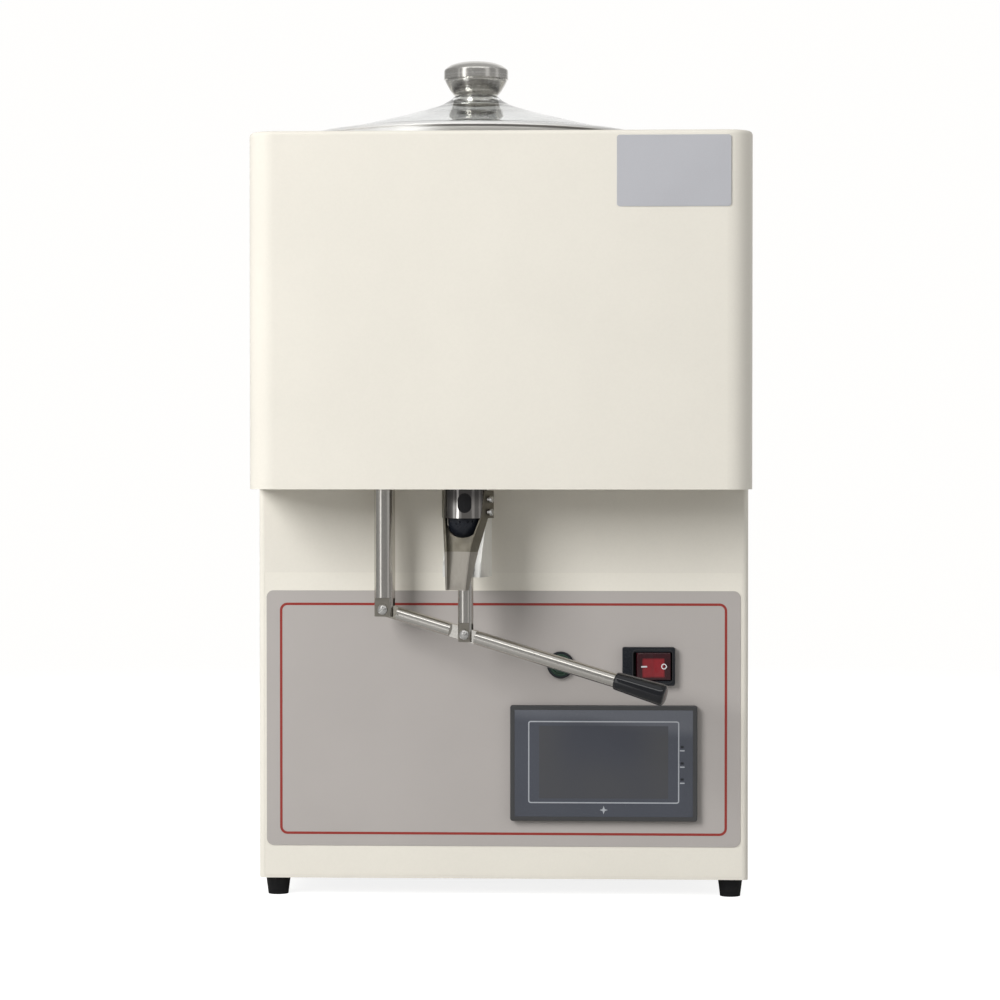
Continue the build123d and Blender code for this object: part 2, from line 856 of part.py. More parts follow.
def shaft_bearing():
    return ring(pot_centre_x, pot_y, floor_top, pot_bottom, bearing_radius, shaft_radius + running_clearance)


def shaft_seal():
    seal = post(pot_centre_x, pot_y, pot_bottom, pot_floor, pot_hub_radius)
    seal += post(pot_centre_x, pot_y, pot_floor, pot_floor + seal_ring_height, seal_ring_radius)
    top = pot_floor + seal_ring_height
    return seal - post(pot_centre_x, pot_y, pot_bottom, top, shaft_radius + running_clearance)


def gearbox():
    half = gearbox_width / 2
    x_range = (pot_centre_x - half, pot_centre_x + half)
    case = block(x_range, (pot_y - half, pot_y + half), (gearbox_bottom, gearbox_top))
    case = fillet(case.edges().filter_by(Axis.Z), gearbox_edge_radius)
    floor = gearbox_bottom + gearbox_blind_floor
    return case - post(pot_centre_x, pot_y, floor, gearbox_top, shaft_radius + running_clearance)


def stirrer_motor():
    body = post(pot_centre_x, pot_y, gearbox_bottom - motor_height, gearbox_bottom, motor_radius)
    return fillet(body.faces().sort_by(Axis.Z)[0].edges(), gearbox_edge_radius)


def motor_bracket():
    half = gearbox_width / 2 + bracket_overhang
    x_range = (pot_centre_x - half, pot_centre_x + half)
    shelf = block(x_range, (pot_y - half, pot_y + half), (gearbox_top, bracket_top))
    reach = half - bracket_post_radius
    for x, y in corner_points(reach, reach, pot_centre_x, pot_y):
        shelf += post(x, y, bracket_top, head_bottom, bracket_post_radius)
    return shelf - post(pot_centre_x, pot_y, gearbox_top, bracket_top, shaft_radius + shaft_hole_gap)


# Outlet and valve


def outlet_pipe():
    start = valve_y + tube_bore_radius
    end = pot_y - pot_inner_radius + pipe_stub
    pipe = rear_post(valve_x, pipe_z, start, end, pipe_radius)
    pipe -= rear_post(valve_x, pipe_z, start, end, pipe_bore_radius)
    return pipe - post(valve_x, valve_y, tube_bottom, tube_top, tube_radius)


def port_shape(reach):
    face = SlotOverall(port_height, port_width, rotation=90)
    return Pos(valve_x, valve_y, port_z) * Rot(90, 0, 0) * extrude(face, reach)


def outlet_tube():
    tube = post(valve_x, valve_y, tube_bottom, tube_top, tube_radius)
    tube += post(valve_x, valve_y, floor_top, floor_top + tube_flange_height, tube_flange_radius)
    tube -= post(valve_x, valve_y, tube_bottom + tube_lip_height, tube_top - tube_cap, tube_bore_radius)
    tube -= post(valve_x, valve_y, tube_bottom, tube_top - tube_cap, lip_bore_radius)
    tube -= port_shape(tube_radius)
    tube -= rear_post(valve_x, pipe_z, valve_y, valve_y + tube_radius, pipe_bore_radius)
    for drop in chute_screw_drops:
        tube -= at_valve(side_post(0, tube_radius, 0, head_bottom - drop, chute_screw_radius))
    return tube


def port_bung():
    outer = tube_radius - bung_inset
    wall = ring(valve_x, valve_y, tube_bottom, head_bottom, outer, tube_bore_radius)
    return wall & port_shape(tube_radius)


def dome(radius, depth):
    """A rounded plug end that hangs below the tube's mouth."""
    edge = [
        Spline((0, -depth), (radius, 0), tangents=((1, 0), (0, 1))),
        Line((radius, 0), (0, 0)),
        Line((0, 0), (0, -depth)),
    ]
    return Pos(0, 0, tube_bottom) * revolve(Plane.XZ * make_face(edge), Axis.Z)


def valve_plug():
    plug = dome(dome_radius, plug_dome_depth)
    plug += post(0, 0, tube_bottom, plug_shoulder_z, dome_radius)
    plug += post(0, 0, plug_shoulder_z, plug_top, plug_radius)
    for index in range(plug_flute_count):
        flute = post(plug_radius, 0, plug_shoulder_z, plug_top, plug_flute_radius)
        plug -= Rot(0, 0, 45 + index * 360 / plug_flute_count) * flute
    plug -= post(0, 0, valve_pin_z, rod_top, valve_rod_radius)
    return Pos(valve_x, valve_y, 0) * plug


def valve_spring():
    height = spring_head - spring_foot - 2 * spring_wire_radius
    path = Helix(pitch=height / spring_turns, height=height, radius=spring_radius)
    section = Plane(origin=path @ 0, z_dir=path % 0) * Circle(spring_wire_radius)
    coil = sweep(section, path=path, is_frenet=True)
    return Pos(valve_x, valve_y, spring_foot + spring_wire_radius) * coil


def drop_z(drop):
    return tube_bottom - drop


def in_front_of(points):
    """The space in front of a (reach, z) line, wider than the chute."""
    far = 4 * chute_tip_reach
    top = (far, points[0][1])
    bottom = (far, points[-1][1])
    outline = [(-reach, z) for reach, z in points + [bottom, top]]
    face = Plane.YZ * make_face(Polyline(*outline, close=True))
    return extrude(face, 2 * chute_top_half_width, both=True)


def wedge(half_width_change):
    """The tapering plan of the chute, from behind the tube to past the tip."""
    back = -2 * chute_ear_reach
    front = chute_tip_reach + chute_ear_reach
    back_half = chute_top_half_width - chute_taper * back + half_width_change
    front_half = chute_top_half_width - chute_taper * front + half_width_change
    corners = [(-back_half, -back), (back_half, -back), (front_half, -front), (-front_half, -front)]
    z_low = drop_z(chute_tip_drop) - chute_sheet
    return Pos(0, 0, z_low) * extrude(make_face(Polyline(*corners, close=True)), head_bottom - z_low)


def floor_line(set_back):
    """The chute's floor from the head down to the tip, as (reach, z) points."""
    return [
        (-chute_ear_reach, head_bottom - chute_top_gap),
        (-chute_ear_reach, drop_z(0)),
        (chute_floor_top_reach - set_back, drop_z(0)),
        (chute_bend_reach - set_back, drop_z(chute_bend_drop)),
        (chute_tip_reach - set_back, drop_z(chute_tip_drop)),
    ]


def chute():
    wings = [
        (chute_wing_tip_reach, drop_z(chute_tip_drop)),
        (chute_wing_bend_reach, drop_z(chute_bend_drop)),
        (chute_wing_middle_reach, drop_z(chute_middle_drop)),
        (chute_wing_mouth_reach, drop_z(0)),
        (chute_wing_top_reach, head_bottom - chute_top_gap),
    ]
    outline = [(-reach, z) for reach, z in floor_line(chute_sheet) + wings]
    side = extrude(Plane.YZ * make_face(Polyline(*outline, close=True)), 2 * chute_top_half_width, both=True)
    trough = (side & wedge(0)) - (in_front_of(floor_line(0)) & wedge(-chute_sheet))
    trough -= post(0, 0, drop_z(0), head_bottom, tube_radius + chute_tube_gap)
    trough -= dome(dome_radius + plug_dome_gap, plug_dome_depth + plug_dome_gap)
    trough -= post(0, 0, drop_z(chute_tip_drop), drop_z(0), valve_rod_radius + plug_dome_gap)
    for drop in chute_screw_drops:
        trough -= side_post(0, 2 * chute_top_half_width, 0, head_bottom - drop, chute_screw_radius)
    return at_valve(trough)


def chute_screws():
    screws = []
    seat = chute_top_half_width + chute_taper * chute_screw_head_radius + chute_tube_gap
    for drop in chute_screw_drops:
        z = head_bottom - drop
        shank = side_post(tube_bore_radius + chute_screw_wall_gap, seat, 0, z, chute_screw_radius)
        head = side_post(seat, seat + chute_screw_head_height, 0, z, chute_screw_head_radius)
        head = fillet(head.faces().sort_by(Axis.X)[-1].edges(), chute_screw_head_height * head_round_share)
        screws.append(at_valve(shank + head))
    return Part() + screws


def valve_housing():
    half_x = block_width / 2
    half_y = block_depth / 2
    z_low = tube_bottom - block_height
    body = block((-half_x, half_x), (-half_y, half_y), (z_low, tube_bottom))
    body = fillet(body.edges().filter_by(Axis.Z), block_edge_radius)
    body -= in_front_of(floor_line(chute_sheet + chute_tube_gap))
    body -= dome(dome_radius + plug_dome_gap, plug_dome_depth + plug_dome_gap)
    body -= post(0, 0, z_low, tube_bottom, valve_rod_radius + plug_gap)
    body -= post(0, 0, z_low, z_low + bush_height, bush_radius)
    return at_valve(body)


def guide_bush():
    z_low = tube_bottom - block_height
    return ring(valve_x, valve_y, z_low, z_low + bush_height, bush_radius, valve_rod_radius + bush_clearance)


# Lever linkage


def forked_rod(radius, bottom, top, pin_z, flat_distance, flat_height, slot_top):
    """An upright rod whose foot is slotted for the lever and milled flat at the front."""
    rod = post(0, 0, bottom, top, radius)
    half_slot = fork_slot_width / 2
    rod -= block((-2 * radius, 2 * radius), (-half_slot, half_slot), (bottom, slot_top))
    rod -= block((-2 * radius, 2 * radius), (-2 * radius, -flat_distance), (bottom, bottom + flat_height))
    hole = rear_post(0, pin_z, -2 * radius, 2 * radius, pin_screw_radius)
    return Rot(0, 0, -lever_turn) * (rod - hole)


def fork_slot_top(pin_z, rod_radius):
    """High enough to clear the sloping tongue across the whole rod."""
    slope = radians(lever_slope)
    return pin_z + lever_radius / cos(slope) + rod_radius * tan(slope) + fork_slot_clearance


def support_rod():
    slot_top = fork_slot_top(pivot_z, support_rod_radius)
    rod = forked_rod(support_rod_radius, pivot_z - support_rod_tail, support_rod_top, pivot_z, support_flat_distance,
                     support_flat_height, slot_top)
    return Pos(support_x, support_y, 0) * rod


def support_nut():
    nut = hexagon(support_x, support_y, floor_top, floor_top + support_nut_height, support_nut_width)
    return nut - post(support_x, support_y, floor_top, floor_top + support_nut_height, support_rod_radius)


def pin_screw(flat_distance, rod_radius):
    length = flat_distance + rod_radius - pin_end_gap
    return slotted_screw(pin_screw_radius, pin_head_radius, pin_head_height, length)


def pivot_screw():
    screw = Pos(0, -support_flat_distance, 0) * pin_screw(support_flat_distance, support_rod_radius)
    return Pos(support_x, support_y, pivot_z) * Rot(0, 0, -lever_turn) * screw


def valve_pin():
    screw = Pos(0, -valve_flat_distance, 0) * pin_screw(valve_flat_distance, valve_rod_radius)
    return Pos(valve_x, valve_y, valve_pin_z) * Rot(0, 0, -lever_turn) * screw


def valve_rod():
    slot_top = fork_slot_top(valve_pin_z, valve_rod_radius)
    rod = forked_rod(valve_rod_radius, valve_pin_z - valve_rod_tail, rod_top, valve_pin_z, valve_flat_distance,
                     valve_flat_height, slot_top)
    return Pos(valve_x, valve_y, 0) * rod


def lever_arm():
    end = grip_start + grip_length - grip_end_wall
    arm = side_post(0, end, 0, 0, lever_radius)
    arm += rear_post(0, 0, -lever_radius, lever_radius, lever_radius)
    half = tongue_thickness / 2
    flats = (
        (-2 * lever_radius, tongue_neck),
        (lever_pin_distance - flat_start_before_pin, lever_pin_distance + flat_end_after_pin),
    )
    for x_range in flats:
        for y_range in ((-2 * lever_radius, -half), (half, 2 * lever_radius)):
            arm -= block(x_range, y_range, (-2 * lever_radius, 2 * lever_radius))
    arm -= rear_post(0, 0, -half, half, pin_screw_radius + running_clearance)
    slot_radius = pin_screw_radius + plug_gap / 2
    slot_ends = (lever_pin_distance_open - plug_gap / 2, lever_pin_distance)
    for x in slot_ends:
        arm -= rear_post(x, 0, -half, half, slot_radius)
    return at_lever(arm - block(slot_ends, (-half, half), (-slot_radius, slot_radius)))


def lever_grip():
    grip = Cone(grip_thin_radius, grip_thick_radius, grip_length, align=STAND)
    grip = fillet(grip.faces().sort_by(Axis.Z)[-1].edges(), grip_end_radius)
    grip -= Cylinder(lever_radius, grip_length - grip_end_wall, align=STAND)
    return at_lever(Pos(grip_start, 0, 0) * Rot(0, 90, 0) * grip)


# Controls


def touch_panel_bezel():
    front = label_face - touch_proud
    frame = panel(touch_centre_x, touch_centre_z, front, label_face, touch_width, touch_height, touch_corner_radius)
    frame = fillet(frame.faces().sort_by(Axis.Y)[0].edges(), touch_corner_radius / 2)
    width = touch_width - 2 * touch_glass_margin
    height = touch_height - 2 * touch_glass_margin
    return frame - window(touch_centre_x, touch_centre_z, front, front + touch_glass_thickness, width, height)


def touch_panel_glass():
    front = label_face - touch_proud
    gap = 2 * (touch_glass_margin + running_clearance)
    return window(touch_centre_x, touch_centre_z, front, front + touch_glass_thickness, touch_width - gap,
                  touch_height - gap)


def touch_panel_body():
    inset = 2 * touch_body_inset
    back = label_face + touch_body_depth
    return window(touch_centre_x, touch_centre_z, label_face, back, touch_width - inset, touch_height - inset)


def rocker_opening():
    reach = hypot(rocker_half_length, rocker_face_depth + rocker_half_length * tan(radians(rocker_tilt)))
    return 2 * (reach + rocker_clearance), rocker_height + 2 * rocker_clearance


def rocker_place():
    """The rocker's pivot, level with the back of the switch frame's flange but for its own depth."""
    return switch_centre_x + rocker_offset, label_face - switch_proud + rocker_face_depth


def switch_bezel():
    front = label_face - switch_proud
    frame = panel(switch_centre_x, switch_centre_z, front, label_face, switch_width, switch_height,
                  switch_corner_radius)
    frame = fillet(frame.faces().sort_by(Axis.Y)[0].edges(), switch_corner_radius / 2)
    neck_end = label_face + switch_neck_depth
    frame += window(switch_centre_x, switch_centre_z, label_face, neck_end, switch_neck_width, switch_neck_height)
    pivot_x, pivot_y = rocker_place()
    width, height = rocker_opening()
    frame -= window(pivot_x, switch_centre_z, front, neck_end, width, height)
    half_pin = rocker_height / 2 + rocker_pin_length
    return frame - post(pivot_x, pivot_y, switch_centre_z - half_pin, switch_centre_z + half_pin,
                        rocker_pin_radius + pin_clearance)


def switch_body():
    start = label_face + switch_neck_depth
    end = start + switch_body_depth
    body = window(switch_centre_x, switch_centre_z, start, end, switch_neck_width, switch_neck_height)
    for x, z in corner_points(switch_neck_width / 4, switch_neck_height / 4, switch_centre_x, switch_centre_z):
        body += window(x, z, end, end + terminal_length, terminal_thickness, terminal_width)
    return body


def switch_rocker():
    rise = rocker_half_length * tan(radians(rocker_tilt))
    corners = [
        (0, -rocker_face_depth),
        (rocker_half_length, -rocker_face_depth - rise),
        (rocker_half_length, 0),
        (rocker_half_length / 2, rocker_back_depth),
        (-rocker_half_length / 2, rocker_back_depth),
        (-rocker_half_length, 0),
        (-rocker_half_length, -rocker_face_depth - rise),
    ]
    half = rocker_height / 2
    rocker = Pos(0, 0, -half) * extrude(make_face(Polyline(*corners, close=True)), rocker_height)
    half_pin = half + rocker_pin_length - rocker_clearance
    rocker += post(0, 0, -half_pin, half_pin, rocker_pin_radius)
    pivot_x, pivot_y = rocker_place()
    return Pos(pivot_x, pivot_y, switch_centre_z) * Rot(0, 0, rocker_tilt) * rocker


def lamp_bezel():
    front = label_face - lamp_ring_proud
    nut_start = column_front + sheet
    lamp = rear_post(lamp_centre_x, lamp_centre_z, front, label_face, lamp_ring_radius)
    lamp = fillet(lamp.faces().sort_by(Axis.Y)[0].edges(), lamp_ring_edge_radius)
    lamp += rear_post(lamp_centre_x, lamp_centre_z, label_face, label_face + lamp_barrel_depth, lamp_barrel_radius)
    lamp += rear_post(lamp_centre_x, lamp_centre_z, nut_start, nut_start + lamp_nut_height, lamp_nut_radius)
    return lamp - rear_post(lamp_centre_x, lamp_centre_z, front, label_face, lamp_lens_radius)


def lamp_lens():
    lens = rear_post(lamp_centre_x, lamp_centre_z, label_face - lamp_ring_proud - lamp_lens_crown, label_face,
                     lamp_lens_radius)
    return fillet(lens.faces().sort_by(Axis.Y)[0].edges(), lamp_lens_edge_radius)


# Fan, inlet and electrics


def fan_screw_places():
    half = fan_screw_spacing / 2
    return corner_points(half, half, fan_centre_x, fan_centre_z)


def fan_frame():
    front = column_back - fan_depth
    frame = panel(fan_centre_x, fan_centre_z, front, column_back, fan_size, fan_size, fan_corner_radius)
    frame -= rear_post(fan_centre_x, fan_centre_z, front, column_back, fan_duct_radius)
    strut_end = front + fan_strut_thickness
    cross = window(fan_centre_x, fan_centre_z, front, strut_end, 2 * fan_duct_radius, fan_strut_width)
    cross += window(fan_centre_x, fan_centre_z, front, strut_end, fan_strut_width, 2 * fan_duct_radius)
    cross += rear_post(fan_centre_x, fan_centre_z, front, strut_end, fan_hub_radius)
    frame += cross + rear_post(fan_centre_x, fan_centre_z, front, strut_end + fan_spindle_length, fan_spindle_radius)
    for x, z in fan_screw_places():
        frame -= rear_post(x, z, front, column_back, fan_screw_radius + hole_clearance)
    return frame


def fan_rotor():
    start = column_back - fan_depth + fan_strut_thickness + fan_hub_gap
    end = column_back - fan_rotor_inset
    blade_span = fan_duct_radius - fan_tip_gap - fan_hub_radius / 2
    middle = (end - start) / 2
    rotor = rear_post(0, 0, 0, end - start, fan_hub_radius)
    for index in range(fan_blade_count):
        blade = Box(fan_blade_thickness, fan_blade_chord, blade_span, align=STAND)
        blade = Pos(0, middle, fan_hub_radius / 2) * Rot(0, 0, fan_blade_pitch) * blade
        rotor += Rot(0, index * 360 / fan_blade_count, 0) * blade
    tip = fan_duct_radius - fan_tip_gap
    rotor &= rear_post(0, 0, 0, end - start, tip)
    bore_length = fan_spindle_length + fan_hub_gap
    rotor -= rear_post(0, 0, 0, bore_length, fan_spindle_radius + running_clearance)
    return Pos(fan_centre_x, start, fan_centre_z) * rotor


def guard_eyes(radius):
    eyes = []
    for x, z in fan_screw_places():
        eyes.append(rear_post(x, z, panel_face, panel_face + guard_eye_thickness, radius))
    return eyes


def fan_guard():
    """Rings of round wire, welded on four bars that end in the screw eyes."""
    bar_y = panel_face + guard_bar_lift + guard_wire_radius
    ring_y = bar_y + 2 * guard_wire_radius - guard_weld
    bar_start = guard_outer_radius / guard_ring_count
    bar_end = hypot(fan_screw_spacing, fan_screw_spacing) / 2 - guard_eye_radius + guard_weld
    guard = Part() + guard_eyes(guard_eye_radius)
    for quarter in range(4):
        bar = Pos(0, 0, bar_start) * Cylinder(guard_wire_radius, bar_end - bar_start, align=STAND)
        guard += Pos(fan_centre_x, bar_y, fan_centre_z) * Rot(0, 45 + 90 * quarter, 0) * bar
    for ring in range(1, guard_ring_count + 1):
        radius = guard_outer_radius * ring / guard_ring_count
        guard += Pos(fan_centre_x, ring_y, fan_centre_z) * Rot(90, 0, 0) * Torus(radius, guard_wire_radius)
    return guard - guard_eyes(fan_screw_radius + hole_clearance)


def fan_screws():
    seat = panel_face + guard_eye_thickness
    screws = []
    for x, z in fan_screw_places():
        shank = rear_post(x, z, column_back - fan_depth, seat, fan_screw_radius)
        screws.append(shank + rear_post(x, z, seat, seat + fan_screw_radius, 2 * fan_screw_radius))
    return Part() + screws


def power_inlet():
    face_end = panel_face + inlet_flange_thickness
    body = panel(inlet_centre_x, inlet_centre_z, panel_face, face_end, inlet_flange_width, inlet_flange_height,
                 column_corner_radius)
    body_start = face_end - inlet_body_depth
    body += window(inlet_centre_x, inlet_centre_z, body_start, panel_face, inlet_body_width, inlet_body_height)
    mouth_start = face_end - inlet_mouth_depth
    body -= window(inlet_centre_x, inlet_centre_z, mouth_start, face_end, inlet_mouth_width, inlet_mouth_height)
    pins = [(-inlet_pin_spread, -inlet_pin_drop), (0, inlet_pin_drop), (inlet_pin_spread, -inlet_pin_drop)]
    for x, z in pins:
        body += window(inlet_centre_x + x, inlet_centre_z + z, mouth_start, mouth_start + inlet_pin_length,
                       inlet_pin_thickness, inlet_pin_width)
    for side in (-1, 1):
        x = inlet_centre_x + side * inlet_screw_spacing / 2
        body += rear_post(x, inlet_centre_z, face_end, face_end + inlet_screw_radius, 2 * inlet_screw_radius)
    return body


def power_supply():
    x_range = (supply_centre_x - supply_width / 2, supply_centre_x + supply_width / 2)
    y_high = column_back - supply_from_back
    body = block(x_range, (y_high - supply_depth, y_high), (base_top, base_top + supply_height))
    return fillet(body.edges().filter_by(Axis.Z), case_edge_radius)


def heater_relay():
    x_range = (relay_centre_x - relay_width / 2, relay_centre_x + relay_width / 2)
    y_high = column_back - relay_from_back
    body = block(x_range, (y_high - relay_depth, y_high), (base_top, base_top + relay_height))
    return fillet(body.edges().filter_by(Axis.Z), case_edge_radius)


pieces = [
    base_plate, rubber_feet, foot_screws, column_shell, fascia_panel, fascia_label, rear_panel, rear_screws,
    head_casing, head_floor, head_screws, label_plate,
    mixing_pot, pot_seal_ring, heating_jacket, insulation_blanket, temperature_probe,
    lid_glass, lid_rim, lid_knob, lid_hub,
    stirrer_shaft, stirrer_paddle, shaft_bearing, shaft_seal, gearbox, stirrer_motor, motor_bracket,
    outlet_pipe, outlet_tube, port_bung, valve_plug, valve_spring, valve_housing, guide_bush, chute, chute_screws,
    support_rod, support_nut, pivot_screw, valve_rod, valve_pin, lever_arm, lever_grip,
    touch_panel_bezel, touch_panel_glass, touch_panel_body, switch_bezel, switch_body, switch_rocker,
    lamp_bezel, lamp_lens,
    fan_frame, fan_rotor, fan_guard, fan_screws, power_inlet, power_supply, heater_relay,
]

os.makedirs("parts", exist_ok=True)
solids = {piece.__name__: piece() for piece in pieces}
front = solids["lever_grip"].bounding_box().min.Y
to_middle = Pos(0, -(front + head_depth) / 2, 0)
for name, solid in solids.items():
    export_step(to_middle * solid, f"parts/{name}.step")

print(f"{len(solids)} pieces, moved {-(front + head_depth) / 2:.3f} mm along y")
print(f"lever: turned {lever_turn:.3f}, slope {lever_slope:.3f}, open {open_slope:.3f} degrees")
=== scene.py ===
import bmesh
import bpy
import json
from math import cos, pi, radians, sin, tan
from mathutils import Matrix, Vector
from mathutils.geometry import interpolate_bezier


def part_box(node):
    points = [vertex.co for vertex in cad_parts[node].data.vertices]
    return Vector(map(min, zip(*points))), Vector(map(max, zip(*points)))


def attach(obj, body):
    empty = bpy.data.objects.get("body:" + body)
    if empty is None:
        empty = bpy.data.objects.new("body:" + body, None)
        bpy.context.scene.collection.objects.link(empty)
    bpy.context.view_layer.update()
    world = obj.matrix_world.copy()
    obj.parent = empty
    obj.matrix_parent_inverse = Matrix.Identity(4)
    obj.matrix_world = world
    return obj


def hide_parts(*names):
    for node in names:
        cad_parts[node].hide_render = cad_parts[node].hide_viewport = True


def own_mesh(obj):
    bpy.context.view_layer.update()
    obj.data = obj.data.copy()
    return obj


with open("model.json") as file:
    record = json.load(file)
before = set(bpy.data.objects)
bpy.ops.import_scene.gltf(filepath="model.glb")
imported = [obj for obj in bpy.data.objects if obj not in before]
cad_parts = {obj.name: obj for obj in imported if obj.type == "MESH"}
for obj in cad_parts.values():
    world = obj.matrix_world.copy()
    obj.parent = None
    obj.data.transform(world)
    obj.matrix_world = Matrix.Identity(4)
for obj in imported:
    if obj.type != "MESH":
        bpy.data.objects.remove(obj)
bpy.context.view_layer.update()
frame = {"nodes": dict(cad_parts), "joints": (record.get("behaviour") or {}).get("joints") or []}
nodes = frame["nodes"]
mm = 0.001
print("frame loaded:", len(nodes), "nodes")


def middleOf(node):
    low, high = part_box(node)
    return (low + high) / 2


def around(middle, reach):
    return middle - reach, middle + reach


def plug(tree, node, values):
    # a node's output is linked, and anything else is set on the socket itself
    for name, value in dict(values).items():
        socket = node.inputs[name]
        if isinstance(value, bpy.types.NodeSocket):
            tree.links.new(value, socket)
        elif socket.type == "RGBA":
            socket.default_value = (*value[:3], 1.0)
        else:
            socket.default_value = value


def addNode(tree, kind, values=(), **settings):
    node = tree.nodes.new("ShaderNode" + kind)
    for name, value in settings.items():
        setattr(node, name, value)
    plug(tree, node, values)
    return node.outputs


def mathNode(tree, operation, first, second=0.0, clamp=False):
    return addNode(tree, "Math", {0: first, 1: second}, operation=operation, use_clamp=clamp)[0]


def multiply(tree, first, second):
    return mathNode(tree, "MULTIPLY", first, second)


def addShares(tree, first, firstShare, second, secondShare):
    return mathNode(tree, "ADD", multiply(tree, first, firstShare), multiply(tree, second, secondShare))


def oneLess(tree, value):
    return mathNode(tree, "SUBTRACT", 1.0, value)


def offMiddle(tree, value, middle):
    return mathNode(tree, "ABSOLUTE", mathNode(tree, "SUBTRACT", value, middle))


def rangeNode(tree, value, edges, start=0.0, end=1.0):
    return addNode(tree, "MapRange", {
        "Value": value, "From Min": edges[0], "From Max": edges[1], "To Min": start, "To Max": end,
    }, clamp=True, interpolation_type="SMOOTHSTEP")["Result"]


def noiseNode(tree, vector, scale, detail=2.0, roughness=0.5):
    values = {"Vector": vector, "Scale": scale, "Detail": detail, "Roughness": roughness}
    return addNode(tree, "TexNoise", values)["Fac"]


def cellNode(tree, vector, values, feature="F1"):
    return addNode(tree, "TexVoronoi", {"Vector": vector, **values}, feature=feature)["Distance"]


def vectorNode(tree, operation, first, second):
    return addNode(tree, "VectorMath", {0: first, 1: second}, operation=operation)


def dim(tree, colour, factor):
    return addNode(tree, "VectorMath", {0: colour, "Scale": factor}, operation="SCALE")[0]


def mixColours(tree, factor, first, second):
    return addNode(tree, "Mix", {0: factor, 6: first, 7: second}, data_type="RGBA")[2]


def bumpNode(tree, height, distance):
    return addNode(tree, "Bump", {"Strength": 1.0, "Height": height, "Distance": distance})["Normal"]


def objectPlace(tree):
    return addNode(tree, "TexCoord")["Object"]


def splitPlace(tree, place):
    return addNode(tree, "SeparateXYZ", {0: place})


def newGroup(name, inputs):
    group = bpy.data.node_groups.new(name, "ShaderNodeTree")
    for title, value in inputs.items():
        kind = "Float" if isinstance(value, float) else "Color" if len(value) == 4 else "Vector"
        socket = group.interface.new_socket(title, in_out="INPUT", socket_type="NodeSocket" + kind)
        socket.default_value = value
    for title, kind in (("Colour", "Color"), ("Roughness", "Float"), ("Normal", "Vector")):
        group.interface.new_socket(title, in_out="OUTPUT", socket_type="NodeSocket" + kind)
    return group, group.nodes.new("NodeGroupInput").outputs, group.nodes.new("NodeGroupOutput")


# powder coat, moulded plastic and rubber: an all-over grain, slow clouds of tone and a little dust
grainLook = {
    "cloudNoise": (9.0, 4.0, 0.55),
    "grainRoughness": 0.6,
    "fineScale": 3.7,
    "fineShare": 0.35,
    "speckShare": 0.4,
    "cloudEdges": (0.3, 0.7),
    "grainEdges": (0.35, 0.65),
    "roughShares": (0.6, 0.4),
}


def makeGrainGroup(look):
    group, inputs, output = newGroup("grainTexture", {
        "Colour": (0.5, 0.5, 0.5, 1.0), "Grain Scale": 600.0, "Grain Depth": 0.00003, "Cloud": 0.05,
        "Rough Low": 0.35, "Rough High": 0.45})
    place = objectPlace(group)
    clouds = noiseNode(group, place, *look["cloudNoise"])
    grain = noiseNode(group, place, inputs["Grain Scale"], 2.0, look["grainRoughness"])
    fine = noiseNode(group, place, multiply(group, inputs["Grain Scale"], look["fineScale"]), 1.0)
    height = mathNode(group, "ADD", grain, multiply(group, fine, look["fineShare"]))
    shade = rangeNode(group, clouds, look["cloudEdges"], oneLess(group, inputs["Cloud"]))
    speckLow = oneLess(group, multiply(group, inputs["Cloud"], look["speckShare"]))
    speck = rangeNode(group, grain, look["grainEdges"], speckLow)
    wear = addShares(group, clouds, look["roughShares"][0], grain, look["roughShares"][1])
    plug(group, output, {
        "Colour": dim(group, inputs["Colour"], multiply(group, shade, speck)),
        "Roughness": rangeNode(group, wear, look["grainEdges"], inputs["Rough Low"], inputs["Rough High"]),
        "Normal": bumpNode(group, height, inputs["Grain Depth"]),
    })
    return group


# drawn, brushed and turned metal: streaks along the stretch, slow finger smudges
metalLook = {
    "streakNoise": (1.0, 3.0, 0.65),
    "smudgeNoise": (55.0, 3.0, 0.6),
    "streakEdges": (0.3, 0.7),
    "smudgeEdges": (0.48, 0.7),
    "smudgeShade": 0.5,
    "smudgeRough": 0.6,
}


def makeMetalGroup(look):
    group, inputs, output = newGroup("metalTexture", {
        "Colour": (0.6, 0.6, 0.6, 1.0), "Turn": (0.0, 0.0, 0.0), "Stretch": (1.0, 1.0, 1.0),
        "Streak Depth": 0.00001, "Tone": 0.1, "Smudge": 0.1, "Rough Low": 0.15, "Rough High": 0.3})
    place = objectPlace(group)
    turn = {"Vector": place, "Rotation": inputs["Turn"]}
    turned = addNode(group, "VectorRotate", turn, rotation_type="EULER_XYZ")[0]
    stretched = vectorNode(group, "MULTIPLY", turned, inputs["Stretch"])[0]
    streaks = noiseNode(group, stretched, *look["streakNoise"])
    smudges = noiseNode(group, place, *look["smudgeNoise"])
    smudgeMask = multiply(group, rangeNode(group, smudges, look["smudgeEdges"]), inputs["Smudge"])
    tone = rangeNode(group, streaks, look["streakEdges"], oneLess(group, inputs["Tone"]))
    tone = multiply(group, tone, oneLess(group, multiply(group, smudgeMask, look["smudgeShade"])))
    rough = rangeNode(group, streaks, look["streakEdges"], inputs["Rough Low"], inputs["Rough High"])
    smudgeRough = multiply(group, smudgeMask, look["smudgeRough"])
    plug(group, output, {
        "Colour": dim(group, inputs["Colour"], tone),
        "Roughness": mathNode(group, "ADD", rough, smudgeRough, clamp=True),
        "Normal": bumpNode(group, streaks, inputs["Streak Depth"]),
    })
    return group


grainTexture = makeGrainGroup(grainLook)
metalTexture = makeMetalGroup(metalLook)


def openFinish(name):
    tree = bpy.data.materials[name].node_tree
    return tree, tree.nodes["Principled BSDF"]


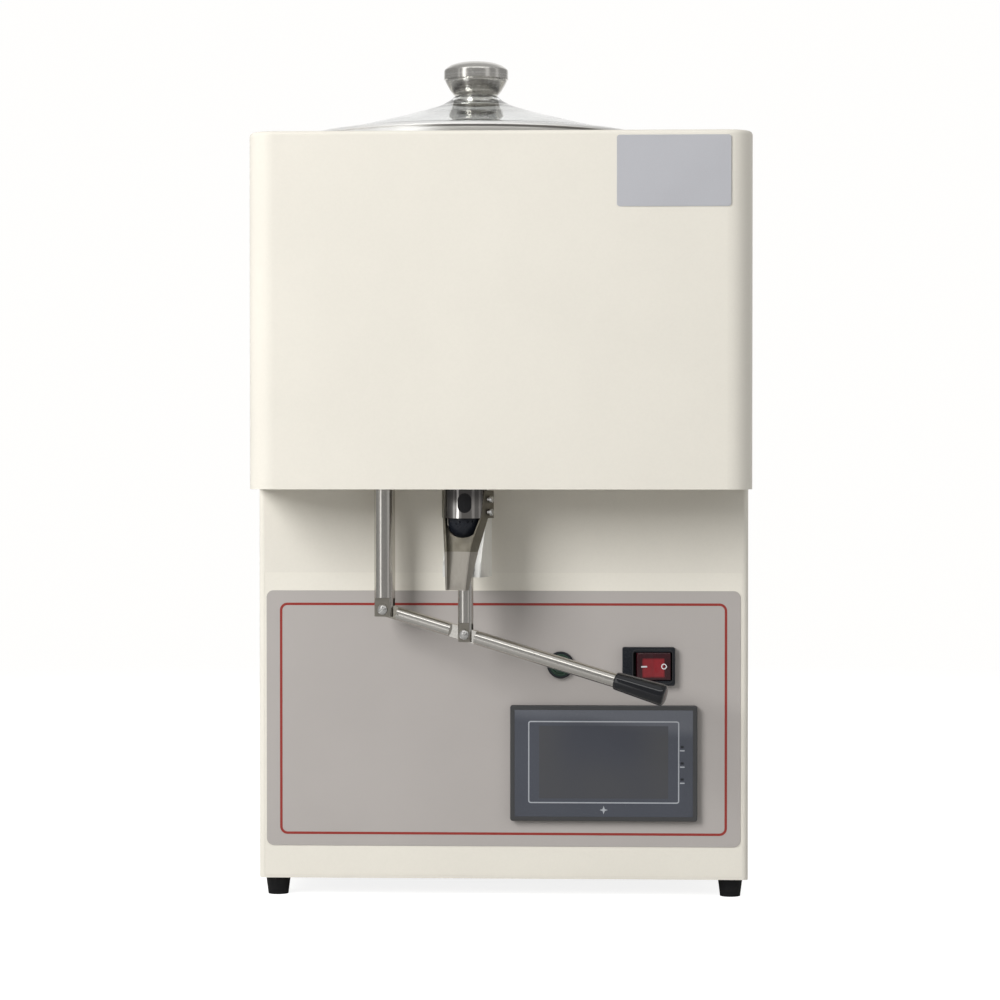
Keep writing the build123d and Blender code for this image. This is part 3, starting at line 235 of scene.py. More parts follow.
def newMaterial(name, shaderValues=()):
    bpy.data.materials.new(name).use_nodes = True
    tree, shader = openFinish(name)
    plug(tree, shader, shaderValues)
    return tree, shader


def linkSurface(tree, shader, colour, roughness, normal):
    plug(tree, shader, {"Base Color": colour, "Roughness": roughness, "Normal": normal})


def texture(tree, group, values):
    node = tree.nodes.new("ShaderNodeGroup")
    node.node_tree = group
    plug(tree, node, values)
    return node.outputs


def retone(tree, shader, share, tone):
    # lays a tone over the colour that reaches the shader
    colour = shader.inputs["Base Color"].links[0].from_socket
    plug(tree, shader, {"Base Color": mixColours(tree, share, colour, tone)})


def wornSurface(tree, shader, look, colour, wear, height):
    rough = rangeNode(tree, wear, look["wear"], *look["rough"])
    linkSurface(tree, shader, colour, rough, bumpNode(tree, height, look["depth"]))


coat = {"scale": 520.0, "depth": 0.00004, "rough": (0.36, 0.46), "cloud": 0.03, "specular": 0.45}
film = {"scale": 2600.0, "depth": 0.000008, "rough": (0.34, 0.44), "cloud": 0.04}
grainFinishes = {
    "creamPowderCoat": {"colour": (0.80, 0.765, 0.685), **coat},
    # painted light: a lighter copy of the cream coat for the front panel, which lies out of the head's shade
    "frontPowderCoat": {"colour": (0.835, 0.80, 0.715), **coat},
    "greyPowderCoat": {"colour": (0.70, 0.67, 0.60), **coat},
    "greyLabelFilm": {"colour": (0.455, 0.425, 0.405), **film},
    "redInk": {"colour": (0.30, 0.038, 0.030), **film},
    "whiteInk": {"colour": (0.75, 0.76, 0.78), **film},
    "paleInk": {"colour": (0.40, 0.42, 0.45), **film},
    "glossBlackGrip": {"colour": (0.005, 0.0056, 0.008), "scale": 350.0, "depth": 0.000002,
                       "rough": (0.16, 0.22), "specular": 0.12, "lacquer": 0.8},
    "frameBlack": {"colour": (0.013, 0.015, 0.019), "scale": 1800.0, "depth": 0.000003,
                   "rough": (0.25, 0.36), "cloud": 0.08, "specular": 0.35},
    "panelBlack": {"colour": (0.052, 0.053, 0.055), "scale": 1600.0, "depth": 0.00001,
                   "rough": (0.38, 0.5), "cloud": 0.08},
    "mouldedBlack": {"colour": (0.026, 0.027, 0.030), "scale": 1300.0, "depth": 0.00003, "rough": (0.42, 0.56)},
    "motorPaint": {"colour": (0.035, 0.035, 0.038), "scale": 700.0, "depth": 0.00004, "rough": (0.40, 0.52)},
    "blackRubber": {"colour": (0.0065, 0.0065, 0.0075), "scale": 1100.0, "depth": 0.00004,
                    "rough": (0.55, 0.72), "cloud": 0.3, "specular": 0.35},
    "whiteSilicone": {"colour": (0.74, 0.74, 0.71), "scale": 800.0, "depth": 0.00002, "rough": (0.4, 0.5),
                      "cloud": 0.06},
    "orangeSilicone": {"colour": (0.62, 0.20, 0.05), "scale": 1500.0, "depth": 0.00005, "rough": (0.45, 0.6),
                       "cloud": 0.12},
    "whitePolymer": {"colour": (0.80, 0.80, 0.77), "scale": 900.0, "depth": 0.00001, "rough": (0.3, 0.4),
                     "cloud": 0.05},
}


def grainFinish(name, colour, scale, depth, rough, cloud=0.15, specular=0.5, lacquer=0.0):
    tree, shader = newMaterial(name, {"Specular IOR Level": specular, "Coat Weight": lacquer})
    linkSurface(tree, shader, *texture(tree, grainTexture, {
        "Colour": colour, "Grain Scale": scale, "Grain Depth": depth, "Cloud": cloud,
        "Rough Low": rough[0], "Rough High": rough[1]}))


for name, look in grainFinishes.items():
    grainFinish(name, **look)

linkLook = {
    "turn": 15.624,
    "slope": 15.335,
    "flatTop": {"support_rodSteel": 217.8, "valve_rodSteel": 200.9},
    "flatFade": 0.1,
    "flatFacing": (0.994, 0.999),
    # the painted shade laid on the milled flats and on the lever's cheek
    "flatShadeTone": (0.25, 0.235, 0.205),
    "flatRough": (0.36, 0.5),
    "flatMarks": (900.0, 3.0, 0.7),
    "cheekEdge": (-0.074, -0.073),
    "cheekFacing": (0.99, 0.998),
}
linkTurn = radians(linkLook["turn"])
linkFront = Vector((-sin(linkTurn), -cos(linkTurn), 0))
leverLine = Matrix.Rotation(-linkTurn, 3, "Z") @ Matrix.Rotation(radians(linkLook["slope"]), 3, "Y")

steelTone = (0.62, 0.60, 0.565)
rod = {"colour": steelTone, "stretch": (1400.0, 1400.0, 9.0), "rough": (0.17, 0.23), "tone": 0.07,
       "smudge": 0.03, "depth": 0.000003}
steelFinishes = {
    "support_rodSteel": rod,
    "valve_rodSteel": rod,
    "leverSteel": {"colour": steelTone, "stretch": (5.0, 900.0, 900.0), "rough": (0.15, 0.22), "tone": 0.09,
                   "smudge": 0.02, "depth": 0.000002, "turn": leverLine.inverted().to_euler()},
    "polishedTube": {"colour": (0.135, 0.128, 0.125), "stretch": (60.0, 60.0, 1100.0), "rough": (0.06, 0.12),
                     "tone": 0.05, "smudge": 0.04, "depth": 0.000002},
    "foldedSheet": {"colour": (0.39, 0.365, 0.325), "stretch": (420.0, 420.0, 24.0), "rough": (0.34, 0.44),
                    "smudge": 0.16, "depth": 0.000004},
    "drawnPot": {"colour": steelTone, "stretch": (60.0, 60.0, 900.0), "rough": (0.16, 0.26), "tone": 0.06,
                 "smudge": 0.06},
    "rolledRim": {"colour": (0.93, 0.925, 0.91), "stretch": (60.0, 60.0, 500.0), "rough": (0.30, 0.42),
                  "tone": 0.05, "smudge": 0.05, "metallic": 0.55},
    "milledAlloy": {"colour": (0.72, 0.71, 0.68), "stretch": (900.0, 900.0, 40.0), "rough": (0.40, 0.50),
                    "tone": 0.06, "smudge": 0.05, "depth": 0.000004},
    "valveAlloy": {"colour": (0.80, 0.795, 0.76), "stretch": (900.0, 900.0, 40.0), "rough": (0.40, 0.50),
                   "tone": 0.08, "smudge": 0.05, "depth": 0.000004, "metallic": 0.55},
    "zincPlate": {"colour": (0.66, 0.655, 0.64), "stretch": (420.0, 420.0, 420.0), "rough": (0.22, 0.34),
                  "smudge": 0.1, "depth": 0.000004},
    "galvanisedCase": {"colour": (0.60, 0.61, 0.60), "stretch": (90.0, 90.0, 90.0), "rough": (0.32, 0.5),
                       "tone": 0.25, "smudge": 0.1},
}


def steelFinish(name, colour, stretch, rough, tone=0.10, smudge=0.15, depth=0.000006, turn=(0.0, 0.0, 0.0),
                metallic=1.0):
    tree, shader = newMaterial(name, {"Metallic": metallic})
    linkSurface(tree, shader, *texture(tree, metalTexture, {
        "Colour": colour, "Turn": turn, "Stretch": stretch, "Streak Depth": depth, "Tone": tone,
        "Smudge": smudge, "Rough Low": rough[0], "Rough High": rough[1]}))


for name, look in steelFinishes.items():
    steelFinish(name, **look)


def shadeFrontFace(name, facing, axis, edges):
    # paints shade on what faces the front, as far as an edge along one axis
    tree, shader = openFinish(name)
    coordinates = addNode(tree, "TexCoord")
    place = coordinates["Object"]
    turn = vectorNode(tree, "DOT_PRODUCT", coordinates["Normal"], linkFront)["Value"]
    share = multiply(tree, rangeNode(tree, turn, facing),
                     rangeNode(tree, splitPlace(tree, place)[axis], edges, 1.0, 0.0))
    retone(tree, shader, share, linkLook["flatShadeTone"])
    return tree, shader, place, share


# the milled flat of a drawn rod is rougher than the round, and painted darker with painted shade
def dullAndShadeFlat(name, look):
    edges = around(look["flatTop"][name] * mm, look["flatFade"] * mm)
    tree, shader, place, flat = shadeFrontFace(name, look["flatFacing"], "Z", edges)
    rough = shader.inputs["Roughness"].links[0].from_socket
    dull = rangeNode(tree, noiseNode(tree, place, *look["flatMarks"]), (0.3, 0.7), *look["flatRough"])
    plug(tree, shader, {"Roughness": rangeNode(tree, flat, (0.0, 1.0), rough, dull)})


for name in linkLook["flatTop"]:
    dullAndShadeFlat(name, linkLook)
# the lever's milled cheek at its pivot lies in the shade of the fork
shadeFrontFace("leverSteel", linkLook["cheekFacing"], "X", linkLook["cheekEdge"])

# the spout's outlet tube has painted shade along its left side, painted light on its lower part and a painted
# highlight streak near its mouth
tubeLook = {
    "litTone": (0.31, 0.295, 0.28),
    "highlightTone": (0.80, 0.78, 0.75),
    "sideShadeTone": (0.075, 0.072, 0.070),
    "litHeight": (0.293, 0.282),
    "litSide": (-0.0385, -0.0325),
    "highlightMiddle": -0.0305,
    "highlightWidth": (0.0017, 0.0042),
    "highlightHeight": (0.289, 0.282),
}


def shadeTube(look):
    tree, shader = openFinish("polishedTube")
    parts = splitPlace(tree, objectPlace(tree))
    lit = multiply(tree, rangeNode(tree, parts["X"], look["litSide"]),
                   rangeNode(tree, parts["Z"], look["litHeight"]))
    off = offMiddle(tree, parts["X"], look["highlightMiddle"])
    paintedHighlight = multiply(tree, rangeNode(tree, off, look["highlightWidth"], 1.0, 0.0),
                      rangeNode(tree, parts["Z"], look["highlightHeight"]))
    # painted shade on the left side, then painted light low down, then the painted highlight streak
    retone(tree, shader, rangeNode(tree, parts["X"], look["litSide"], 1.0, 0.0), look["sideShadeTone"])
    retone(tree, shader, lit, look["litTone"])
    retone(tree, shader, paintedHighlight, look["highlightTone"])


shadeTube(tubeLook)

# the folded sheet is painted darker above the bend, a painted reflection of the dark tube and plug above it,
# broken up by noise
bendShadeLook = {"tone": (0.185, 0.17, 0.135), "foot": (0.2514, 0.2518), "noise": (130.0, 3.0, 0.6),
             "edges": (0.2, 0.7), "thinnest": 0.75}


def shadeSheetAboveBend(look):
    tree, shader = openFinish("foldedSheet")
    place = objectPlace(tree)
    share = multiply(tree, rangeNode(tree, splitPlace(tree, place)["Z"], look["foot"]),
                     rangeNode(tree, noiseNode(tree, place, *look["noise"]), look["edges"], look["thinnest"]))
    # painted reflection: the dark tone is laid over the sheet above the bend
    retone(tree, shader, share, look["tone"])


shadeSheetAboveBend(bendShadeLook)

# the rolled rim is bright above its groove; the groove and the lip below it lie in shade at the front
rimLook = {
    "lipTone": (0.50, 0.49, 0.465),
    "grooveTone": (0.27, 0.262, 0.25),
    "grooveFoot": (0.5555, 0.5558),
    "grooveHead": (0.5570, 0.5574),
    "shadeMiddle": 0.010,
    "shadeWidth": (0.045, 0.080),
}


def shadeRim(look):
    tree, shader = openFinish("rolledRim")
    parts = splitPlace(tree, objectPlace(tree))
    shade = rangeNode(tree, offMiddle(tree, parts["X"], look["shadeMiddle"]), look["shadeWidth"], 1.0, 0.0)
    below = rangeNode(tree, parts["Z"], look["grooveHead"], 1.0, 0.0)
    lip = multiply(tree, shade, below)
    groove = multiply(tree, rangeNode(tree, parts["Z"], look["grooveFoot"]), lip)
    retone(tree, shader, lip, look["lipTone"])
    retone(tree, shader, groove, look["grooveTone"])


shadeRim(rimLook)

foilLook = {
    "film": {"Colour": (0.60, 0.605, 0.64), "Grain Scale": 1900.0, "Grain Depth": 0.00001, "Cloud": 0.05,
             "Rough Low": 0.36, "Rough High": 0.48},
    "flakeCells": {"Scale": 2400.0},
    "flakeEdges": (0.0, 0.5),
    "flakeShare": 0.14,
    "flakeTone": (0.85, 0.87, 0.9),
}


def makeSilverPlate(look):
    tree, shader = newMaterial("silverPlate", {"Metallic": 0.35})
    colour, rough, normal = texture(tree, grainTexture, look["film"])
    flakes = cellNode(tree, objectPlace(tree), look["flakeCells"])
    glitter = rangeNode(tree, flakes, look["flakeEdges"], look["flakeShare"], 0.0)
    linkSurface(tree, shader, mixColours(tree, glitter, colour, look["flakeTone"]), rough, normal)


makeSilverPlate(foilLook)

# spun on a lathe: the rings run round the Z axis, so the highlight fans out across them
spunLook = {
    "dark": (0.70, 0.685, 0.65),
    "light": (0.84, 0.825, 0.79),
    "ringNoise": (1500.0, 3.0, 0.7),
    "cloudNoise": (120.0, 3.0, 0.6),
    "shares": (0.6, 0.4),
    "toneEdges": (0.35, 0.65),
    "wear": (0.3, 0.7),
    "rough": (0.20, 0.29),
    "depth": 0.000012,
}


def makeSpunSteel(look):
    tree, shader = newMaterial("spunSteel", {
        "Metallic": 1.0, "Anisotropic": 0.7, "Anisotropic Rotation": 0.25})
    place = objectPlace(tree)
    centre = (*middleOf("lid_knob").xy, 0.0)
    parts = splitPlace(tree, vectorNode(tree, "SUBTRACT", place, centre)[0])
    squares = [mathNode(tree, "POWER", parts[axis], 2.0) for axis in "XY"]
    radius = mathNode(tree, "POWER", mathNode(tree, "ADD", *squares), 0.5)
    ringPlace = addNode(tree, "CombineXYZ", {0: radius, 1: parts["Z"]})[0]
    rings = noiseNode(tree, ringPlace, *look["ringNoise"])
    clouds = noiseNode(tree, place, *look["cloudNoise"])
    blend = addShares(tree, rings, look["shares"][0], clouds, look["shares"][1])
    tone = rangeNode(tree, blend, look["toneEdges"])
    wornSurface(tree, shader, look, mixColours(tree, tone, look["dark"], look["light"]), blend, rings)
    plug(tree, shader, {"Tangent": addNode(tree, "Tangent", direction_type="RADIAL", axis="Z")[0]})


makeSpunSteel(spunLook)

# domed valve plug: black rubber that stays wet near the mouth of the tube
wetLook = {
    "dark": (0.007, 0.0085, 0.013),
    "light": (0.012, 0.0135, 0.018),
    "wetBelowLip": (8.0, 1.0),
    "dropCells": {"Scale": 420.0, "Smoothness": 0.3},
    "dropEdges": (0.1, 0.42),
    "grainScale": 1200.0,
    "grainShare": 0.02,
    "wear": (0.0, 0.4),
    "rough": (0.30, 0.05),
    "depth": 0.0009,
}


def makeWetRubber(look):
    tree, shader = newMaterial("wetRubber", {"Specular IOR Level": 0.3})
    place = objectPlace(tree)
    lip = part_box("outlet_tube")[0].z
    wetEdges = [lip - depth * mm for depth in look["wetBelowLip"]]
    wet = rangeNode(tree, splitPlace(tree, place)["Z"], wetEdges)
    drops = cellNode(tree, place, look["dropCells"], "SMOOTH_F1")
    beads = multiply(tree, rangeNode(tree, drops, look["dropEdges"], 1.0, 0.0), wet)
    grain = noiseNode(tree, place, look["grainScale"])
    height = addShares(tree, beads, 1.0, grain, look["grainShare"])
    tone = mixColours(tree, rangeNode(tree, grain, (0.3, 0.7)), look["dark"], look["light"])
    wornSurface(tree, shader, look, tone, beads, height)


makeWetRubber(wetLook)

# touch film and display: dark glossy layers with a cool cast, and a painted reflection that lightens them
# towards the upper edge
screenLook = {
    # edge is the tone of the painted reflection
    "touchFilm": {"dark": (0.056, 0.061, 0.076), "light": (0.068, 0.074, 0.092), "edge": (0.115, 0.122, 0.142),
                  "rough": (0.20, 0.28)},
    "displayGlass": {"dark": (0.050, 0.054, 0.068), "light": (0.066, 0.067, 0.072),
                     "edge": (0.066, 0.069, 0.080), "rough": (0.18, 0.26)},
    "cloudNoise": (14.0, 1.0, 0.4),
    "fineNoise": (1800.0, 1.0),
    "slant": 0.10,
    "waver": 0.006,
    "reflectionHeight": (-5.0, 6.0),
    "depth": 0.000004,
}


def makeScreenGlass(name, look):
    tree, shader = newMaterial(name)
    tones = look[name]
    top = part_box("touch_panel_glass")[1].z
    place = objectPlace(tree)
    parts = splitPlace(tree, place)
    clouds = noiseNode(tree, place, *look["cloudNoise"])
    slant = mathNode(tree, "ADD", parts["Z"], multiply(tree, parts["X"], look["slant"]))
    slant = mathNode(tree, "ADD", slant, multiply(tree, clouds, look["waver"]))
    fine = noiseNode(tree, place, *look["fineNoise"])
    base = mixColours(tree, rangeNode(tree, clouds, (0.25, 0.75)), tones["dark"], tones["light"])
    # painted reflection: the edge tone is laid over the film along a slanted band at its top
    share = rangeNode(tree, slant, [top + height * mm for height in look["reflectionHeight"]])
    linkSurface(tree, shader, mixColours(tree, share, base, tones["edge"]),
                rangeNode(tree, fine, (0.2, 0.8), *tones["rough"]), bumpNode(tree, fine, look["depth"]))


makeScreenGlass("touchFilm", screenLook)
makeScreenGlass("displayGlass", screenLook)

# red rocker: dark at the rim, brighter where the window lies over the lamp
rockerLook = {
    "rim": ((0.022, 0.0035, 0.006), (0.038, 0.005, 0.008)),
    "lit": ((0.20, 0.013, 0.018), (0.265, 0.018, 0.025)),
    "windowDrop": 1.0,
    "windowSide": (6.9, 8.6),
    "windowHeight": (5.6, 7.6),
    "cloudNoise": (260.0, 3.0, 0.6),
    "wear": (0.3, 0.7),
    "rough": (0.16, 0.26),
    "depth": 0.00002,
}


def windowEdge(tree, value, middle, edges):
    return rangeNode(tree, offMiddle(tree, value, middle), [edge * mm for edge in edges], 1.0, 0.0)


def makeRedRocker(look):
    tree, shader = newMaterial("redRocker", {
        "Specular IOR Level": 0.4, "Coat Weight": 0.3, "Coat Roughness": 0.08})
    middle = middleOf("switch_rocker")
    place = objectPlace(tree)
    parts = splitPlace(tree, place)
    sideways = windowEdge(tree, parts["X"], middle.x, look["windowSide"])
    upright = windowEdge(tree, parts["Z"], middle.z - look["windowDrop"] * mm, look["windowHeight"])
    clouds = noiseNode(tree, place, *look["cloudNoise"])
    rim, lit = [mixColours(tree, clouds, *look[part]) for part in ("rim", "lit")]
    colour = mixColours(tree, multiply(tree, sideways, upright), rim, lit)
    wornSurface(tree, shader, look, colour, clouds, clouds)


makeRedRocker(rockerLook)

lensLook = {"tones": ((0.002, 0.015, 0.008), (0.004, 0.038, 0.018)), "cloudNoise": (300.0, 3.0, 0.6),
            "wear": (0.3, 0.7), "rough": (0.10, 0.2), "depth": 0.00002}


def makeGreenLens(look):
    tree, shader = newMaterial("greenLens", {
        "Specular IOR Level": 0.6, "Coat Weight": 0.5, "Coat Roughness": 0.05})
    clouds = noiseNode(tree, objectPlace(tree), *look["cloudNoise"])
    wornSurface(tree, shader, look, mixColours(tree, clouds, *look["tones"]), clouds, clouds)


makeGreenLens(lensLook)

# tempered glass with a very slight green cast and a breath of dust
glassLook = {
    "tones": ((0.975, 0.99, 0.983), (0.93, 0.94, 0.935)),
    "dustNoise": (240.0, 4.0, 0.7),
    "dustEdges": (0.55, 0.75),
    "wear": (0.45, 0.75),
    "rough": (0.0, 0.035),
    "waveNoise": (26.0, 2.0, 0.5),
    "depth": 0.00003,
}


def makeClearGlass(look):
    tree, shader = newMaterial("clearGlass", {"Transmission Weight": 1.0, "IOR": 1.5})
    place = objectPlace(tree)
    dust = noiseNode(tree, place, *look["dustNoise"])
    wave = noiseNode(tree, place, *look["waveNoise"])
    colour = mixColours(tree, rangeNode(tree, dust, look["dustEdges"]), *look["tones"])
    wornSurface(tree, shader, look, colour, dust, wave)


makeClearGlass(glassLook)

# felt: crossed fibres and soft pilling
feltLook = {
    "tones": ((0.42, 0.41, 0.38), (0.66, 0.64, 0.60)),
    "fibreCells": {"Scale": 700.0}, "fibreShare": 0.6, "pillNoise": (160.0, 5.0, 0.7),
    "wear": (0.3, 0.7), "rough": (0.8, 0.95), "depth": 0.0004,
}


def makeGreyFelt(look):
    tree, shader = newMaterial("greyFelt", {"Specular IOR Level": 0.2, "Sheen Weight": 0.4})
    place = objectPlace(tree)
    fibres = cellNode(tree, place, look["fibreCells"], "DISTANCE_TO_EDGE")
    pills = noiseNode(tree, place, *look["pillNoise"])
    height = mathNode(tree, "ADD", multiply(tree, fibres, look["fibreShare"]), pills)
    wornSurface(tree, shader, look, mixColours(tree, pills, *look["tones"]), pills, height)


makeGreyFelt(feltLook)

nodeFinishes = {
    "creamPowderCoat": ("head_casing", "column_shell"),
    # the front panel takes the painted-light copy of the cream coat
    "frontPowderCoat": ("fascia_panel",),
    "greyPowderCoat": ("rear_panel", "head_floor", "base_plate", "motor_bracket"),
    "greyLabelFilm": ("fascia_label",),
    "silverPlate": ("label_plate",),
    "polishedTube": ("outlet_tube", "outlet_pipe"),
    "drawnPot": ("mixing_pot",),
    "foldedSheet": ("chute",),
    "support_rodSteel": ("support_rod",),
    "valve_rodSteel": ("valve_rod",),
    "leverSteel": ("lever_arm",),
    "milledAlloy": ("gearbox",),
    "galvanisedCase": ("power_supply",),
    "zincPlate": ("foot_screws", "head_screws", "rear_screws", "fan_screws", "chute_screws", "support_nut",
                  "fan_guard", "shaft_bearing", "temperature_probe", "stirrer_shaft", "stirrer_paddle"),
    "frameBlack": ("switch_bezel", "lamp_bezel", "fan_frame", "fan_rotor"),
    "panelBlack": ("touch_panel_bezel",),
    "touchFilm": ("touch_panel_glass",),
    "mouldedBlack": ("touch_panel_body", "switch_body", "power_inlet", "heater_relay"),
    "motorPaint": ("stirrer_motor",),
    "blackRubber": ("rubber_feet", "port_bung"),
    "wetRubber": ("valve_plug",),
    "whiteSilicone": ("pot_seal_ring", "shaft_seal"),
    "orangeSilicone": ("heating_jacket",),
    "greyFelt": ("insulation_blanket",),
    "whitePolymer": ("guide_bush",),
}
for finish, names in nodeFinishes.items():
    for name in names:
        nodes[name].data.materials.clear()
        nodes[name].data.materials.append(bpy.data.materials[finish])
print("materials placed")


def turned(points, steps=96, closed=False):
    # turns (radius, height) points about Z; all modelling sizes are in millimetres
    bm = bmesh.new()
    chain = [bm.verts.new((radius * mm, 0.0, height * mm)) for radius, height in points]
    pairs = list(zip(chain, chain[1:])) + ([(chain[-1], chain[0])] if closed else [])
    edges = [bm.edges.new(pair) for pair in pairs]
    bmesh.ops.spin(bm, geom=chain + edges, cent=(0, 0, 0), axis=(0, 0, 1), dvec=(0, 0, 0), angle=2 * pi,
                   steps=steps, use_merge=True, use_duplicate=False)
    return bm


def roundCorners(points, segments=4, pull=0.55):
    # (radius, height, corner) points become (radius, height) points with curved corners
    flat = [Vector(point[:2]) for point in points]
    result = []
    for index, (radius, height, corner) in enumerate(points):
        if corner == 0 or index in (0, len(points) - 1):
            result.append((radius, height))
            continue
        here = flat[index]
        before = here + (flat[index - 1] - here).normalized() * corner
        after = here + (flat[index + 1] - here).normalized() * corner
        curve = interpolate_bezier(before, before.lerp(here, pull), after.lerp(here, pull), after, segments + 1)
        result.extend((point[0], point[1]) for point in curve)
    return result


def moveAll(bm, matrix):
    bmesh.ops.transform(bm, matrix=matrix, verts=bm.verts)


def thicken(bm, thickness):
    # gives flat faces a body below them
    grown = bmesh.ops.extrude_face_region(bm, geom=bm.faces[:])
    below = [part for part in grown["geom"] if isinstance(part, bmesh.types.BMVert)]
    bmesh.ops.translate(bm, verts=below, vec=(0, 0, -thickness * mm))


def roundedPlate(width, height, corner, thickness, stripe=0.0, segments=8):
    # a plate lying in XY with its face at z = 0 and its body below; a stripe leaves only its frame
    bm = bmesh.new()
    size = Matrix.Diagonal((width * mm, height * mm, 1.0, 1.0))
    bmesh.ops.create_grid(bm, x_segments=1, y_segments=1, size=0.5, matrix=size)
    bmesh.ops.bevel(bm, geom=bm.verts[:], offset=corner * mm, offset_type="OFFSET", affect="VERTICES",
                    segments=segments, profile=0.5, material=-1)
    if stripe:
        middle = bm.faces[:][0]
        bmesh.ops.inset_region(bm, faces=[middle], thickness=stripe * mm, use_even_offset=True,
                               use_boundary=True)
        bmesh.ops.delete(bm, geom=[middle], context="FACES_ONLY")
    thicken(bm, thickness)
    return bm


standUp = Matrix.Rotation(radians(90), 4, "X")


def standBefore(bm, node, right=0.0, out=0.0, up=0.0):
    # stands a plate before the middle of a node's front, with its face to -Y
    middle, front = middleOf(node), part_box(node)[0].y
    place = (middle.x + right * mm, front - out * mm, middle.z + up * mm)
    moveAll(bm, Matrix.Translation(place) @ standUp)


def newObject(bm, name, finish):
    mesh = bpy.data.meshes.new(name)
    bm.to_mesh(mesh)
    bm.free()
    mesh.materials.append(bpy.data.materials[finish])
    piece = bpy.data.objects.new(name, mesh)
    bpy.context.scene.collection.objects.link(piece)
    return piece


def makePiece(bm, name, finish, body, replaced=(), sharpAngle=35.0):
    bmesh.ops.remove_doubles(bm, verts=bm.verts, dist=0.0002 * mm)
    bmesh.ops.recalc_face_normals(bm, faces=bm.faces)
    piece = newObject(bm, name, finish)
    piece.data.polygons.foreach_set("use_smooth", [True] * len(piece.data.polygons))
    piece.data.set_sharp_from_angle(angle=radians(sharpAngle))
    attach(piece, body)
    if replaced:
        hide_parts(*replaced)
    return piece


def joinInto(bm, other):
    mesh = bpy.data.meshes.new("partial")
    other.to_mesh(mesh)
    other.free()
    bm.from_mesh(mesh)
    bpy.data.meshes.remove(mesh)


def findJoint(name):
    return next(joint for joint in frame["joints"] if joint["name"] == name)


# plates are (width, height, corner)
borderPlace = {"plate": (323.7, 168.0, 5.5), "stripe": 1.8, "drop": 0.4, "inkThickness": 0.06}


def makeBorder(place):
    bm = roundedPlate(*place["plate"], place["inkThickness"], place["stripe"])
    standBefore(bm, "fascia_label", out=place["inkThickness"], up=-place["drop"])
    makePiece(bm, "border_line", "redInk", "housing")


makeBorder(borderPlace)

# thin bead that fills the seam between the front panel and the shell
seamPlace = {"gap": 0.3, "overlap": 0.05, "recess": 0.08, "depth": 1.2, "corner": 0.2}


def makeSeam(place):
    low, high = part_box("fascia_panel")
    grow = 2 * (place["gap"] + place["overlap"])
    bm = roundedPlate((high.x - low.x) / mm + grow, (high.z - low.z) / mm + grow, place["corner"],
                      place["depth"], place["gap"] + 2 * place["overlap"])
    standBefore(bm, "fascia_panel", out=-place["recess"])
    makePiece(bm, "seam_bead", "creamPowderCoat", "housing")


makeSeam(seamPlace)
print("front label done")

screenPlace = {
    "line": (108.9, 59.4, 1.9),
    "lineStripe": 0.85,
    "display": (93.0, 52.4, 0.4),
    "displayRise": 0.9,
    "starDrop": 33.6,
    "starRadius": 3.0,
    "starWaist": 1.05,
    "tick": (3.3, 0.9, 0.2),
    "tickX": 56.6,
    "tickHeights": (9.4, -2.4, -14.0),
    "lamp": (2.2, 1.6, 0.4),
    "lampX": 56.5,
    "lampRise": 2.7,
    "inkThickness": 0.05,
}


def makeScreen(place):
    ink = place["inkThickness"]
    display = roundedPlate(*place["display"], ink)
    line = roundedPlate(*place["line"], ink, place["lineStripe"])
    for plate in (display, line):
        standBefore(plate, "touch_panel_glass", out=ink, up=place["displayRise"])
    makePiece(display, "display_window", "displayGlass", "housing")

    star = bmesh.new()
    bmesh.ops.create_circle(star, cap_ends=True, segments=8, radius=place["starRadius"] * mm)
    for index, vert in enumerate(star.verts):
        if index % 2:
            vert.co *= place["starWaist"] / place["starRadius"]
    thicken(star, ink)
    standBefore(star, "touch_panel_glass", out=ink, up=-place["starDrop"])
    joinInto(line, star)
    dark = bmesh.new()
    for height in place["tickHeights"]:
        tick = roundedPlate(*place["tick"], ink)
        standBefore(tick, "touch_panel_glass", place["tickX"], ink, height)
        joinInto(line, tick)
        lamp = roundedPlate(*place["lamp"], ink)
        standBefore(lamp, "touch_panel_glass", place["lampX"], ink, height + place["lampRise"])
        joinInto(dark, lamp)
    makePiece(line, "screen_print", "paleInk", "housing")
    makePiece(dark, "screen_lamps", "frameBlack", "housing")


makeScreen(screenPlace)
print("touch panel done")

rockerPlace = {
    "halfLength": 12.3,
    "height": 20.0,
    "faceDepth": 4.0,
    "backDepth": 3.0,
    "tilt": 10.0,
    "edgeRadius": 0.9,
    "pinRadius": 1.5,
    "pinReach": 10.7,
    "markShift": 8.1,
    "dash": (4.6, 1.1, 0.3),
    "ringRadii": (1.35, 2.05),
    "markThickness": 0.06,
}


